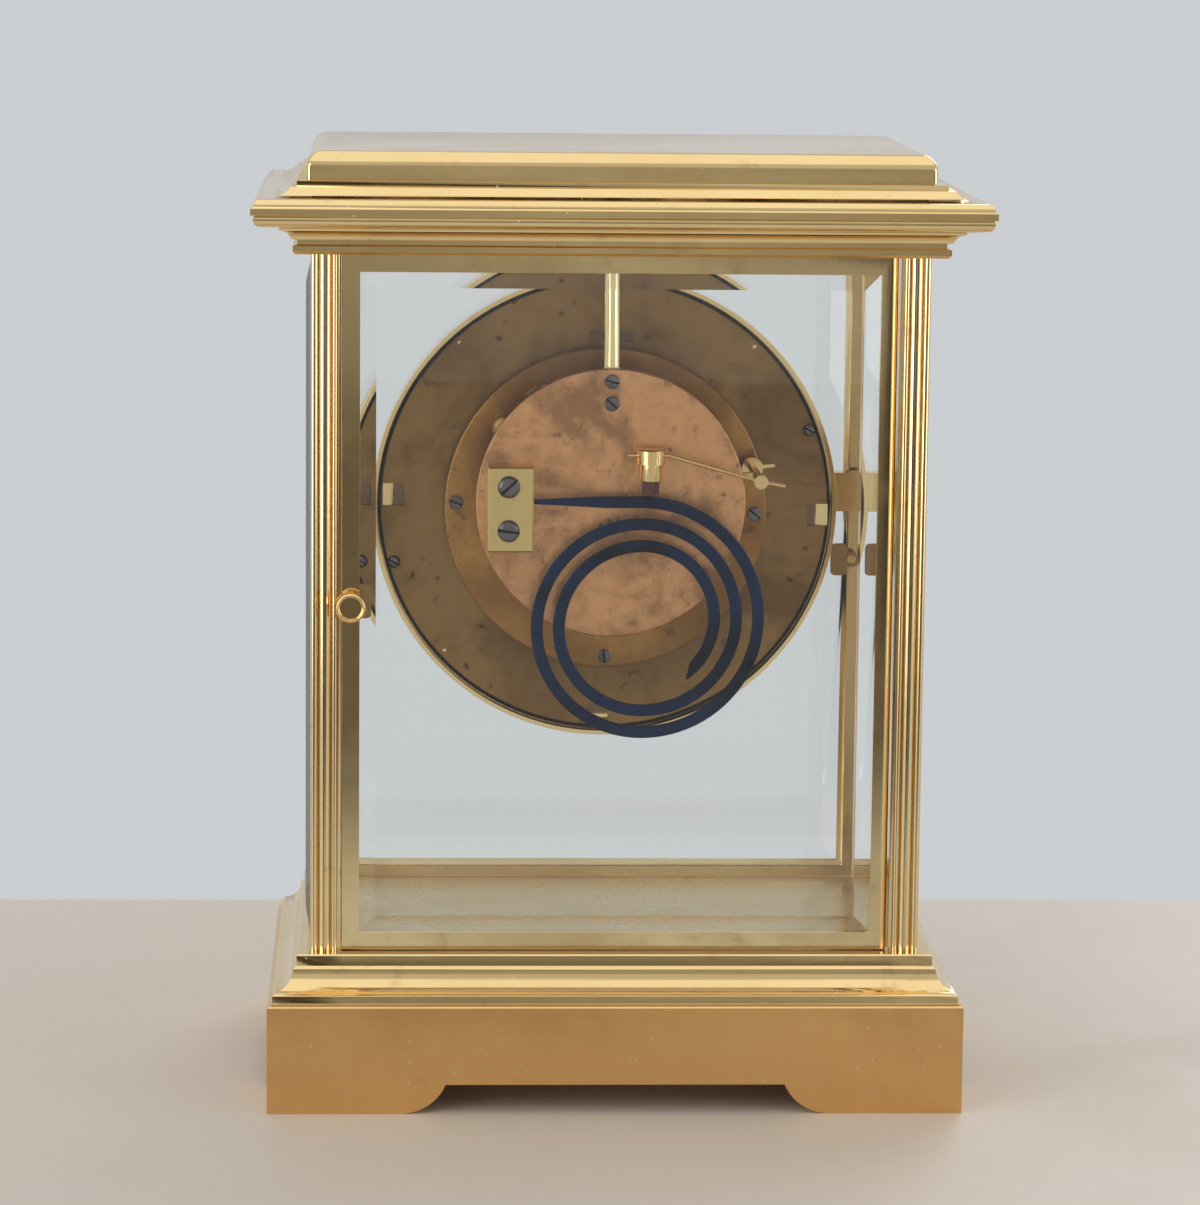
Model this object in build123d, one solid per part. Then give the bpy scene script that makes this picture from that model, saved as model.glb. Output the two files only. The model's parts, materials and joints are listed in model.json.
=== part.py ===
from build123d import *
import os
from math import acos, atan2, cos, degrees, hypot, pi, radians, sin, tan

# Four-glass mantel clock in millimetres. The dial looks towards -Y, the gong side towards +Y,
# +Z is up, and the origin is the middle of the underside.

# Case
pillar_half_depth = 53.1
pillar_width = 8.4
pillar_depth = 9.5
plinth_height = 30.4
plinth_overhang = 11.8
plinth_edge = 0.5
plinth_wall = 4.0
plinth_roof = 3.0
arch_height = 8.2
arch_foot_width = 36.5
arch_foot_depth = 24.0
arch_run = 13.0
arch_bow = 2.4
floor_height = 43.3
moulding_reveal = 1.2
bead_height = 2.6
cove_overhang = 4.6
neck_overhang = 3.7
neck_height = 3.2
edge_break = 0.4
moulding_wall = 6.0
moulding_roof = 3.0
pillar_height = 193.9
cornice_height = 19.8
cornice_overhang = 15.9
cap_height = 8.0
cap_overhang = 1.1
cap_round = 4.4
side_glass_thick = 4.0
glass_edge_thick = 2.0
side_glass_proud = 1.6
side_bevel = 9.0
seat_gap = 0.2
beyond = 300.0

# Doors
door_gap = 0.3
door_thick = 4.4
door_recess = 1.8
stile_width = 4.8
rail_height = 4.8
rebate_width = 1.8
door_glass_thick = 2.6
door_glass_edge = 1.3
door_bevel = 6.0
pivot_radius = 1.0
pivot_reach = 2.6
pivot_root = 2.0
running_gap = 0.05
knob_radius = 4.1
knob_length = 3.6
knob_rim = 0.7
knob_dish = 1.0
knob_height = 140.3
spindle_radius = 1.2
tongue_gap = 0.22
tongue_width = 9.5
tongue_thick = 1.6
tongue_plate = 4.8

# Dial
dial_drop = 80.4
dial_side_gap = 16.5
bezel_radius = 68.2
bezel_wall = 1.2
bezel_front = -44.5
bezel_flange = 3.3
bezel_back = -35.6
bezel_face = 8.2
bezel_seat = 5.6
dial_plate_thick = 1.2
dial_plate_front = -39.8
dial_plate_gap = 0.3
enamel_thick = 1.1
enamel_gap = 0.3
dial_slot_width = 6.2
dial_slot_height = 6.6
dial_slot_inset = 6.2
dial_hole_inset = 4.2
bracket_rise = 20.7
bracket_height = 11.5
bracket_depth = 6.0
dial_screw_radius = 1.9
dial_screw_inset = 4.1
dial_screw_angles = (-15.5, 159.5)
dial_hole_angles = (48.0, 133.0, -43.0)
dial_hole_radius = 0.6

# Movement plates
front_plate_radius = 47.0
front_plate_front = -33.0
plate_thick = 2.0
plates_apart = 30.5
back_plate_radius = 38.5
back_plate_rise = 5.7
foot_inset = 3.2
foot_angles = (2.0, 92.0, 182.0, 270.0)
foot_radius = 2.0
post_radius = 2.4
screw_shank = 0.9
screw_head = 2.1
screw_head_thick = 1.2
pivot_size = 0.7
pivot_depth = 1.2
arbor_radius = 1.1

# Trains
wheel_teeth = 72
pinion_teeth = 12
barrel_module = 0.42
centre_module = 0.40
third_module = 0.36
barrel_angle = -25.5
barrel_drum = 14.3
barrel_front = -29.0
barrel_rim_front = -14.0
strike_rim_front = -18.0
wheel_thick = 1.0
rim_thick = 2.0
barrel_wall = 0.9
winding_radius = 2.4
winding_square = 3.2
centre_wheel_front = -9.0
third_wheel_front = -5.2
third_angle = 45.0
fourth_angle = 139.0
escape_radius = 6.4
escape_front = -20.0
escape_count = 15
lever_distance = 9.5
balance_distance = 10.0
escapement_angle = 35.0
balance_angle = 10.0
balance_radius = 8.0
balance_front = -25.0
strike_angle = 100.0
strike_wheel_front = -6.5
fly_angle = 100.0
fly_radius = 6.0
fly_front = -24.0
fly_length = 11.0

# Motion work and hands
motion_module = 0.50
motion_second_module = 0.40
minute_wheel_teeth = 36
hour_wheel_teeth = 48
minute_wheel_angle = 60.0
cannon_radius = 1.6
hour_pipe_radius = 2.6
hour_hand_length = 34.0
minute_hand_length = 50.0
hour_hand_front = -42.7
minute_hand_front = -43.9
hand_thick = 0.5
hour_hand_angle = 145.0
minute_hand_angle = 30.0

# Stay, gong and hammer
stay_radius = 2.2
stay_foot_height = 14.0
gong_x = -9.0
gong_rise = 6.8
gong_depth = 7.0
gong_wire = 3.4
gong_thick = 1.7
gong_corner = 0.5
gong_first_radius = 33.2
gong_shrink = 3.15
gong_half_turns = 4
gong_end_angle = 145.0
gong_root = 1.4
gong_root_corner = 0.3
gong_full_from = 8.0
gong_socket = 7.0
block_left = 35.2
block_right = 22.2
block_rise = 16.7
block_fall = 7.6
block_thick = 6.9
block_screw_radius = 3.2
hammer_x = -11.0
hammer_gap = 0.5
leather_length = 3.6
leather_radius = 2.4
neck_length = 5.2
neck_radius = 3.1
head_length = 4.3
head_radius = 4.0
hammer_arbor_x = -42.4
hammer_arbor_rise = 12.8
stem_radius = 0.55
hammer_boss_radius = 3.1

# Ratchets and clicks
ratchet_radius = 6.0
ratchet_teeth = 24
ratchet_thick = 1.2
ratchet_gap = 0.3
click_angle = -70.0
click_length = 7.0
click_offset = 3.2

# Hairspring
hairspring_wire = 0.3
hairspring_radius = 4.8
hairspring_shrink = 0.45
hairspring_turns = 6
hairspring_rise = 3.0

# Worked out from the sizes above
pillar_half_width = bezel_radius + dial_side_gap
pillar_top = floor_height + pillar_height
cornice_top = pillar_top + cornice_height
total_height = cornice_top + cap_height
dial_height = pillar_top - dial_drop
pillar_inner_x = pillar_half_width - pillar_width
pillar_inner_y = pillar_half_depth - pillar_depth
door_half = pillar_inner_x - door_gap
door_low = floor_height + door_gap
door_high = pillar_top - door_gap
door_outer_y = pillar_half_depth - door_recess
door_inner_y = door_outer_y - door_thick
door_mid_y = (door_outer_y + door_inner_y) / 2
sight_half = door_half - stile_width
pivot_x = door_half - door_thick / 2
knob_x = door_half - stile_width / 2
bezel_opening = bezel_radius - bezel_face
dial_screw_orbit = bezel_radius - dial_screw_inset
dial_plate_radius = bezel_radius - bezel_wall - dial_plate_gap
bracket_middle = knob_height + bracket_rise
foot_orbit = front_plate_radius - foot_inset
front_plate_back = front_plate_front + plate_thick
back_plate_front = front_plate_back + plates_apart
back_plate_back = back_plate_front + plate_thick
dial_plate_back = dial_plate_front + dial_plate_thick
back_plate_z = dial_height + back_plate_rise
gong_top = dial_height + gong_rise
block_top = dial_height + block_rise
block_bottom = dial_height - block_fall
hammer_arbor_z = dial_height + hammer_arbor_rise
hammer_tip = gong_top + gong_wire / 2 + hammer_gap
neck_low = hammer_tip + leather_length
head_low = neck_low + neck_length
head_high = head_low + head_length
stem_height = head_low + head_length * 0.55
tongue_drop = max(0.0, abs(dial_height - knob_height) - tongue_width / 2)
tongue_inner = (bezel_radius ** 2 - min(tongue_drop, bezel_radius) ** 2) ** 0.5 + tongue_gap


def polar(x, z, distance, angle):
    return x + distance * cos(radians(angle)), z + distance * sin(radians(angle))


def mesh_distance(module):
    return module * (wheel_teeth + pinion_teeth) / 2


centre = (0.0, dial_height)
going_barrel_at = polar(*centre, mesh_distance(barrel_module), barrel_angle)
strike_barrel_at = (-going_barrel_at[0], going_barrel_at[1])
third_at = polar(*centre, mesh_distance(centre_module), third_angle)
fourth_at = polar(*third_at, mesh_distance(third_module), fourth_angle)
lever_at = polar(*fourth_at, lever_distance, escapement_angle)
balance_at = polar(*lever_at, balance_distance, balance_angle)
strike_at = polar(*strike_barrel_at, mesh_distance(barrel_module), strike_angle)
fly_at = polar(*strike_at, mesh_distance(third_module), fly_angle)
minute_wheel_distance = motion_module * (pinion_teeth + minute_wheel_teeth) / 2
minute_wheel_at = polar(*centre, minute_wheel_distance, minute_wheel_angle)
hammer_at = (hammer_arbor_x, hammer_arbor_z)
arbors = [centre, third_at, fourth_at, lever_at, balance_at, strike_at, fly_at]


# Basic shapes
def block(x0, x1, y0, y1, z0, z1):
    middle = Pos((x0 + x1) / 2, (y0 + y1) / 2, (z0 + z1) / 2)
    return middle * Box(abs(x1 - x0), abs(y1 - y0), abs(z1 - z0))


def rod_y(at, y0, y1, radius):
    return Pos(at[0], (y0 + y1) / 2, at[1]) * Rot(90, 0, 0) * Cylinder(radius, y1 - y0)


def rod_z(x, y, z0, z1, radius):
    return Pos(x, y, (z0 + z1) / 2) * Cylinder(radius, z1 - z0)


def plate_y(sketch, y0, y1):
    return extrude(Plane.XZ.offset(-y1) * sketch, amount=y1 - y0)


def tube_y(at, y0, y1, outer, inner):
    return rod_y(at, y0, y1, outer) - rod_y(at, y0 - 1, y1 + 1, inner)


def strip(start, end, width):
    angle = degrees(atan2(end[1] - start[1], end[0] - start[0]))
    middle = Pos((start[0] + end[0]) / 2, (start[1] + end[1]) / 2)
    return middle * Rot(0, 0, angle) * Rectangle(hypot(end[0] - start[0], end[1] - start[1]), width)


def half_turn(shape):
    return Rot(0, 0, 180) * shape


def together(shapes):
    return Compound(children=[solid for shape in shapes for solid in shape.solids()])


# Gear teeth with involute flanks; the given angle points at a tooth, or at a gap
def gear_outline(at, teeth, module, addendum, angle, gap_there=False):
    pitch = teeth * module / 2
    base = pitch * cos(radians(20))
    root = pitch - 1.25 * module
    tip = pitch + addendum * module
    half_pitch_tooth = pi / (2 * teeth) - 0.07 * module / pitch
    at_pitch = tan(radians(20)) - radians(20)

    def half_width(radius):
        pressure = acos(min(1.0, base / radius))
        return half_pitch_tooth + at_pitch - (tan(pressure) - pressure)

    lowest = max(base, root)
    steps = [lowest + (tip - lowest) * share for share in (0, 0.45, 1)]
    if root < base:
        steps = [root] + steps
    start = radians(angle) + (pi / teeth if gap_there else 0)
    points = []
    for tooth in range(teeth):
        middle = start + tooth * 2 * pi / teeth
        flank = [(radius, half_width(max(radius, base))) for radius in steps]
        for radius, half in flank:
            points.append((radius * cos(middle - half), radius * sin(middle - half)))
        for radius, half in reversed(flank):
            points.append((radius * cos(middle + half), radius * sin(middle + half)))
    return Pos(*at) * Polygon(*points, align=None)


def wheel_of(at, module, angle, y0, crossings=5, teeth=wheel_teeth, thick=wheel_thick):
    outline = gear_outline(at, teeth, module, 0.6, angle)
    pitch = teeth * module / 2
    if crossings:
        ring = Pos(*at) * (Circle(pitch * 0.8) - Circle(pitch * 0.3))
        for spoke in range(crossings):
            ring -= strip(at, polar(*at, pitch, 360 / crossings * spoke), pitch * 0.12)
        outline -= ring
    return plate_y(outline, y0, y0 + thick)


def pinion_of(at, module, angle, y0, y1, teeth=pinion_teeth):
    return plate_y(gear_outline(at, teeth, module, 1.0, angle, True), y0, y1)


def arbor_of(at, radius=arbor_radius, extra_front=0.0):
    body = rod_y(at, front_plate_back + seat_gap, back_plate_front - seat_gap, radius)
    front = front_plate_front + 0.2 - extra_front
    return body + rod_y(at, front, back_plate_front + pivot_depth - 0.2, pivot_size)


def pivot_hole(at, radius=pivot_size):
    return rod_y(at, front_plate_front - 1, back_plate_front + pivot_depth, radius + running_gap)


def slotted_screw(at, y, head, head_thick, shank, length, turn=0.0, dome=False):
    top = rod_y(at, y, y + head_thick, head)
    edge = top.edges().sort_by(Axis.Y)[-1]
    top = fillet(edge, head_thick * 0.8) if dome else chamfer(edge, head_thick * 0.2)
    slot = Pos(*at) * Rot(0, 0, turn) * Rectangle(head * 2.2, head * 0.25)
    top -= plate_y(slot, y + head_thick * 0.5, y + head_thick + 1)
    return top + rod_y(at, y - length, y, shank)


# Case pieces
def moulded_block(half_x, half_y, z_start, outline):
    # The outline gives (overhang, height, sagitta) from the bottom up; sagitta 0 is a straight run
    def half_section(half_width):
        corners = [(half_width + over, z) for over, z, bend in outline]
        with BuildSketch() as section:
            with BuildLine():
                Line((0, z_start), corners[0])
                for (start, end, item) in zip(corners, corners[1:], outline[1:]):
                    if item[2]:
                        SagittaArc(start, end, item[2])
                    else:
                        Line(start, end)
                Line(corners[-1], (0, corners[-1][1]))
                Line((0, corners[-1][1]), (0, z_start))
            make_face()
        face = section.sketch
        return face + mirror(face, Plane.YZ)

    reach = 2 * max(half_x, half_y) + 80
    along_y = extrude(Plane.XZ * half_section(half_x), amount=reach / 2, both=True)
    along_x = extrude(Plane.YZ * half_section(half_y), amount=reach / 2, both=True)
    return along_y & along_x


def arch_outline(half):
    inner = half - arch_run
    with BuildSketch() as section:
        with BuildLine():
            Line((half, -1), (half, 0))
            SagittaArc((half, 0), (inner, arch_height), arch_bow)
            Line((inner, arch_height), (-inner, arch_height))
            SagittaArc((-inner, arch_height), (-half, 0), arch_bow)
            Line((-half, 0), (-half, -1))
            Line((-half, -1), (half, -1))
        make_face()
    return section.sketch


def base_plinth():
    half_x = pillar_half_width + plinth_overhang
    half_y = pillar_half_depth + plinth_overhang
    shell = block(-half_x, half_x, -half_y, half_y, 0, plinth_height)
    shell = chamfer(shell.edges().group_by(Axis.Z)[-1], plinth_edge)
    shell -= block(-half_x + plinth_wall, half_x - plinth_wall, -half_y + plinth_wall,
                   half_y - plinth_wall, -1, plinth_height - plinth_roof)
    for half, foot, plane, length in ((half_x, arch_foot_width, Plane.XZ, half_y),
                                      (half_y, arch_foot_depth, Plane.YZ, half_x)):
        shell -= extrude(plane * arch_outline(half - foot), amount=length + 1, both=True)
    return shell


def base_moulding():
    low = plinth_height
    wide = plinth_overhang - moulding_reveal
    bead_top = low + bead_height
    neck_foot = floor_height - neck_height
    outline = [(wide, low, 0), (wide, low + 0.6, 0), (wide - 0.3, low + 0.6, 0), (wide - 0.3, bead_top, 0),
               (wide - 0.9, bead_top + edge_break, 0), (cove_overhang, neck_foot - 0.7, 1.3),
               (neck_overhang, neck_foot, 0), (neck_overhang, floor_height - edge_break, 0),
               (neck_overhang - edge_break, floor_height, 0)]
    body = moulded_block(pillar_half_width, pillar_half_depth, plinth_height, outline)
    hollow_x = pillar_half_width + neck_overhang - moulding_wall
    hollow_y = pillar_half_depth + neck_overhang - moulding_wall
    body -= block(-hollow_x, hollow_x, -hollow_y, hollow_y, plinth_height - 1, floor_height - moulding_roof)
    return body - pivot_sockets()


def cornice():
    low = pillar_top
    wide = cornice_overhang
    outline = [(4.0, low, 0), (4.8, low + 0.8, 0), (4.8, low + 2.3, 0), (3.6, low + 2.7, 0),
               (3.6, low + 3.9, 0), (5.2, low + 4.2, 0), (8.2, low + 6.6, 0.7), (8.4, low + 7.2, 0),
               (13.4, low + 8.0, 0), (14.9, low + 10.9, -0.9), (wide, low + 11.2, 0),
               (wide, low + 13.0, 0), (15.2, low + 13.4, 0), (12.4, low + 15.5, -0.8),
               (11.2, low + 15.6, 0), (5.4, low + 18.3, 0.9), (3.7, low + 18.6, 0),
               (3.7, low + cornice_height, 0)]
    body = moulded_block(pillar_half_width, pillar_half_depth, low, outline)
    hollow_x = pillar_half_width - moulding_wall
    hollow_y = pillar_half_depth - moulding_wall
    body -= block(-hollow_x, hollow_x, -hollow_y, hollow_y, low + moulding_roof, cornice_top + 1)
    return body - pivot_sockets()


def top_cap():
    half_x = pillar_half_width + cap_overhang
    half_y = pillar_half_depth + cap_overhang
    slab = block(-half_x, half_x, -half_y, half_y, cornice_top, total_height)
    slab = fillet(slab.edges().filter_by(Axis.Z), 1.2)
    return fillet(slab.edges().group_by(Axis.Z)[-1], cap_round)


def pillar(side_x, side_y):
    # Seen from above: a square bar whose two outward faces carry reeds
    core_inset = 1.2
    section = Pos(-core_inset / 2, -core_inset / 2) * Rectangle(pillar_width - core_inset,
                                                                pillar_depth - core_inset)
    half_w = pillar_width / 2
    half_d = pillar_depth / 2
    reeds = [(1.0, 1.0), (3.9, 1.9), (6.6, 0.7)]
    for from_corner, radius in reeds:
        section += Pos(half_w - from_corner, half_d - radius) * Circle(radius)
        section += Pos(half_w - radius, half_d - from_corner) * Circle(radius)
    square = 0.7
    section += Pos(-half_w + square / 2, half_d - 0.45 - 1) * Rectangle(square, 2)
    section += Pos(half_w - 0.45 - 1, -half_d + square / 2) * Rectangle(2, square)
    bar = extrude(section, amount=pillar_height)
    bar = Pos(pillar_half_width - half_w, pillar_half_depth - half_d, floor_height) * bar
    if side_x < 0:
        bar = mirror(bar, Plane.YZ)
    if side_y < 0:
        bar = mirror(bar, Plane.XZ)
    return bar


def bevelled_pane(half_width, half_height, thick, edge, bevel):
    # A flat pane lying in XY with its bevelled face up
    foot = extrude(Rectangle(2 * half_width, 2 * half_height), amount=edge)
    lower = Pos(0, 0, edge) * Rectangle(2 * half_width, 2 * half_height)
    upper = Pos(0, 0, thick) * Rectangle(2 * (half_width - bevel), 2 * (half_height - bevel))
    return foot + loft([lower, upper])


def side_glass(side):
    half_depth = pillar_inner_y - seat_gap
    half_height = pillar_height / 2 - seat_gap
    pane = bevelled_pane(half_depth, half_height, side_glass_thick, glass_edge_thick, side_bevel)
    pane = Rot(0, 90, 0) * Rot(0, 0, 90) * pane
    inner = pillar_half_width + side_glass_proud - side_glass_thick
    pane = Pos(inner, 0, floor_height + pillar_height / 2) * pane
    return pane if side > 0 else mirror(pane, Plane.YZ)


# Doors, drawn for the gong side; the dial side is the same turned half round
def pivot_sockets():
    holes = []
    for low, high in ((floor_height - pivot_root, floor_height + 1),
                      (pillar_top - 1, pillar_top + pivot_root)):
        hole = rod_z(-pivot_x, door_mid_y, low, high, pivot_radius)
        holes += [hole, half_turn(hole)]
    return together(holes)


def door_pivots():
    pins = [rod_z(-pivot_x, door_mid_y, floor_height - pivot_root, door_low + pivot_reach, pivot_radius),
            rod_z(-pivot_x, door_mid_y, door_high - pivot_reach, pillar_top + pivot_root, pivot_radius)]
    return together(pins)


def door_frame():
    frame = block(-door_half, door_half, door_inner_y, door_outer_y, door_low, door_high)
    edges = frame.edges().filter_by(Axis.Z).filter_by(lambda edge: edge.center().X < 0)
    frame = fillet(edges, door_thick / 2 - 0.05)
    sight_low = door_low + rail_height
    sight_high = door_high - rail_height
    frame -= block(-sight_half, sight_half, 0, beyond, sight_low, sight_high)
    rebate_back = door_inner_y + 0.5 + door_glass_thick
    frame -= block(-sight_half - rebate_width, sight_half + rebate_width, 0, rebate_back,
                   sight_low - rebate_width, sight_high + rebate_width)
    reach = pivot_reach + seat_gap
    for low, high in ((door_low - 1, door_low + reach), (door_high - reach, door_high + 1)):
        frame -= rod_z(-pivot_x, door_mid_y, low, high, pivot_radius + running_gap)
    return frame - rod_y((knob_x, knob_height), 0, beyond, spindle_radius + running_gap)


def door_glass():
    half_width = sight_half + rebate_width - seat_gap
    half_height = (door_high - door_low) / 2 - rail_height + rebate_width - seat_gap
    pane = bevelled_pane(half_width, half_height, door_glass_thick, door_glass_edge, door_bevel)
    back = door_inner_y + 0.5
    pane = Pos(0, back, (door_low + door_high) / 2) * Rot(-90, 0, 0) * pane
    notch = rod_y((knob_x, knob_height), 0, beyond, spindle_radius + 0.4)
    return pane - notch


def door_knob():
    at = (knob_x, knob_height)
    back = pillar_half_depth + door_gap + 0.3
    face = back + knob_length
    profile = Polyline((0, back), (knob_radius - 0.9, back), (knob_radius, back + 0.9),
                       (knob_radius, face - 0.4), (knob_radius - 0.4, face),
                       (knob_radius - knob_rim, face), (knob_radius - knob_rim - 0.3, face - knob_dish),
                       (0, face - knob_dish), close=True)
    head = revolve(make_face(profile), Axis.Y)
    spindle = rod_y(at, pillar_inner_y - door_gap - tongue_thick, back, spindle_radius)
    collar = rod_y(at, door_outer_y + seat_gap, back, spindle_radius + 0.9)
    return Pos(at[0], 0, at[1]) * head + spindle + collar


def latch_tongue():
    back = pillar_inner_y - door_gap
    middle = tongue_inner + tongue_plate / 2
    plate = Pos(middle, knob_height) * RectangleRounded(tongue_plate, tongue_width, 1.4)
    plate += strip((middle, knob_height), (knob_x, knob_height), 2 * (spindle_radius + 1.0))
    plate += Pos(knob_x, knob_height) * Circle(spindle_radius + 1.0)
    plate -= Pos(knob_x, knob_height) * Circle(spindle_radius)
    return plate_y(plate, back - tongue_thick, back)


# Dial pieces
def bezel():
    seat_back = dial_plate_front
    flange_back = bezel_front + bezel_flange
    inner = bezel_radius - bezel_wall
    outline = Polyline((bezel_opening, bezel_front + 1.4), (bezel_opening + 1.6, bezel_front),
                       (bezel_radius - 2.4, bezel_front), (bezel_radius, bezel_front + 2.4),
                       (bezel_radius, bezel_back), (inner, bezel_back), (inner, seat_back),
                       (inner - bezel_seat + bezel_wall, seat_back),
                       (inner - bezel_seat + bezel_wall, flange_back), (bezel_opening, flange_back),
                       close=True)
    ring = Pos(0, 0, dial_height) * revolve(make_face(outline), Axis.Y)
    for angle in dial_screw_angles:
        ring -= rod_y(polar(*centre, dial_screw_orbit, angle), seat_back - 1.3, seat_back + 1, screw_shank)
    return ring


def plain_disc(radius, y0, thick):
    return rod_y(centre, y0, y0 + thick, radius)


def dial_back_plate():
    plate = plain_disc(dial_plate_radius, dial_plate_front, dial_plate_thick)
    through = (dial_plate_front - 1, dial_plate_back + 1)
    cuts = [rod_y(centre, *through, hour_pipe_radius + 0.6)]
    for at in (going_barrel_at, strike_barrel_at):
        cuts.append(rod_y(at, *through, winding_radius + 1.0))
    reach = bezel_radius - dial_slot_inset
    slots = [(reach, reach * 0.045, dial_slot_width, dial_slot_height),
             (-reach - 0.9, -reach * 0.045, dial_slot_width, dial_slot_height),
             (-1.5, reach * 0.8, dial_slot_width * 2.1, dial_slot_height * 0.55),
             (1.5, -reach + 0.4, dial_slot_width, dial_slot_height * 0.67)]
    for x, rise, width, height in slots:
        cuts.append(plate_y(Pos(x, dial_height + rise) * Rectangle(width, height), *through))
    for angle in dial_hole_angles:
        cuts.append(rod_y(polar(*centre, bezel_radius - dial_hole_inset, angle), *through, dial_hole_radius))
    for angle in dial_screw_angles:
        cuts.append(rod_y(polar(*centre, dial_screw_orbit, angle), *through, screw_shank))
    for angle in foot_angles:
        cuts.append(rod_y(polar(*centre, foot_orbit, angle), *through, screw_shank))
    for cut in cuts:
        plate -= cut
    return plate


def enamel_dial():
    radius = bezel_radius - bezel_seat - enamel_gap
    front = dial_plate_front - enamel_thick
    dial = plain_disc(radius, front, enamel_thick)
    dial = fillet(dial.edges().sort_by(Axis.Y)[0], 0.4)
    dial -= rod_y(centre, front - 1, dial_plate_front + 1, hour_pipe_radius + 0.6)
    for at in (going_barrel_at, strike_barrel_at):
        dial -= rod_y(at, front - 1, dial_plate_front + 1, winding_radius + 0.8)
    return dial


def dial_screws():
    return together([slotted_screw(polar(*centre, dial_screw_orbit, angle), dial_plate_back,
                                   dial_screw_radius, 1.5, screw_shank,
                                   dial_plate_thick + 1.3, 30, True) for angle in dial_screw_angles])


def bezel_brackets():
    low = bracket_middle - bracket_height / 2
    outer = pillar_half_width + side_glass_proud - side_glass_thick - seat_gap
    arms = []
    for side in (1, -1):
        arm = block(side * bezel_opening, side * outer, -pillar_inner_y,
                    bracket_depth - pillar_inner_y, low, low + bracket_height)
        arm -= rod_y(centre, -beyond, 0, bezel_radius)
        arms.append(arm)
    return together(arms)


# Movement frame
def front_plate():
    plate = plain_disc(front_plate_radius, front_plate_front, plate_thick)
    plate = chamfer(plate.edges().sort_by(Axis.Y)[-1], 0.3)
    for at in arbors[1:]:
        plate -= pivot_hole(at)
    plate -= rod_y(centre, -beyond, 0, arbor_radius + running_gap)
    for at in (going_barrel_at, strike_barrel_at):
        plate -= rod_y(at, -beyond, 0, winding_radius + running_gap)
    plate -= rod_y(hammer_at, -beyond, 0, pivot_size + running_gap)
    plate -= rod_y(minute_wheel_at, front_plate_front - 1, 0, screw_shank)
    for at in click_places():
        plate -= rod_y(at, -beyond, 0, screw_shank)
    for angle in foot_angles:
        plate -= rod_y(polar(*centre, foot_orbit, angle), -beyond, 0, screw_shank)
    for at in post_places():
        plate -= rod_y(at, -beyond, 0, screw_shank)
    return plate


def back_plate():
    at = (0.0, back_plate_z)
    plate = rod_y(at, back_plate_front, back_plate_back, back_plate_radius)
    plate = chamfer(plate.edges().sort_by(Axis.Y)[-1], 0.25)
    for arbor in arbors:
        plate -= pivot_hole(arbor)
    for arbor in (going_barrel_at, strike_barrel_at):
        plate -= rod_y(arbor, -9, back_plate_front + pivot_depth, pivot_size * 2 + running_gap)
    for screw in stay_screw_places() + block_screw_places():
        plate -= rod_y(screw, -beyond, beyond, screw_shank)
    return plate


def post_places():
    offsets = [(0.0, -33.0), (-34.8, -6.0), (34.8, -6.0), (-12.0, 29.0), (30.0, 18.0)]
    return [(x, back_plate_z + rise) for x, rise in offsets]


def movement_posts():
    posts = []
    for at in post_places():
        post = rod_y(at, front_plate_back, back_plate_front, post_radius)
        middle = (front_plate_back + back_plate_front) / 2
        for y in (front_plate_back + 2, middle - 0.6, back_plate_front - 3.2):
            post += rod_y(at, y, y + 1.2, post_radius + 0.7)
        posts.append(post + rod_y(at, front_plate_front, front_plate_back, screw_shank))
    return together(posts)


def dial_feet():
    return together([rod_y(polar(*centre, foot_orbit, angle), dial_plate_back, front_plate_front,
                           foot_radius + 0.8)
                     - rod_y(polar(*centre, foot_orbit, angle), -beyond, 0, screw_shank)
                     for angle in foot_angles])


def front_plate_screws():
    length = front_plate_back - dial_plate_front
    turns = (20, 65, 40, 80)
    return together([slotted_screw(polar(*centre, foot_orbit, angle), front_plate_back, screw_head,
                                   screw_head_thick, screw_shank, length, turn)
                     for angle, turn in zip(foot_angles, turns)])


# Trains
def barrel(at, tooth_angle, rim_front):
    back = rim_front + rim_thick
    drum = rod_y(at, barrel_front, back, barrel_drum)
    rim = gear_outline(at, wheel_teeth, barrel_module, 0.6, tooth_angle)
    drum += plate_y(rim, rim_front, back)
    drum -= rod_y(at, barrel_front + barrel_wall, rim_front - 0.4, barrel_drum - barrel_wall)
    return drum - rod_y(at, -beyond, 9, winding_radius + running_gap)


def mainspring(at, rim_front):
    outer = barrel_drum - barrel_wall - 0.3
    return tube_y(at, barrel_front + barrel_wall + 0.3, rim_front - 0.8, outer, outer - 5.5)


def winding_arbor(at):
    front = dial_plate_front - enamel_thick - 0.6
    shaft = rod_y(at, front_plate_front - 2.4, back_plate_front - seat_gap, winding_radius)
    shaft += rod_y(at, back_plate_front - seat_gap, back_plate_front + pivot_depth - 0.2, pivot_size * 2)
    square = Pos(*at) * Rectangle(winding_square, winding_square)
    return shaft + plate_y(square, front, front_plate_front - 2.4)


def ratchet(at):
    points = []
    for tooth in range(ratchet_teeth):
        angle = 360 / ratchet_teeth * tooth
        points += [polar(*at, ratchet_radius, angle), polar(*at, ratchet_radius - 0.7, angle + 1)]
    disc = Polygon(*points, align=None) - Pos(*at) * Circle(winding_radius)
    back = front_plate_front - ratchet_gap
    return plate_y(disc, back - ratchet_thick, back)


def click_places():
    orbit = ratchet_radius + click_offset
    return [polar(*at, orbit, click_angle) for at in (going_barrel_at, strike_barrel_at)]


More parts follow.
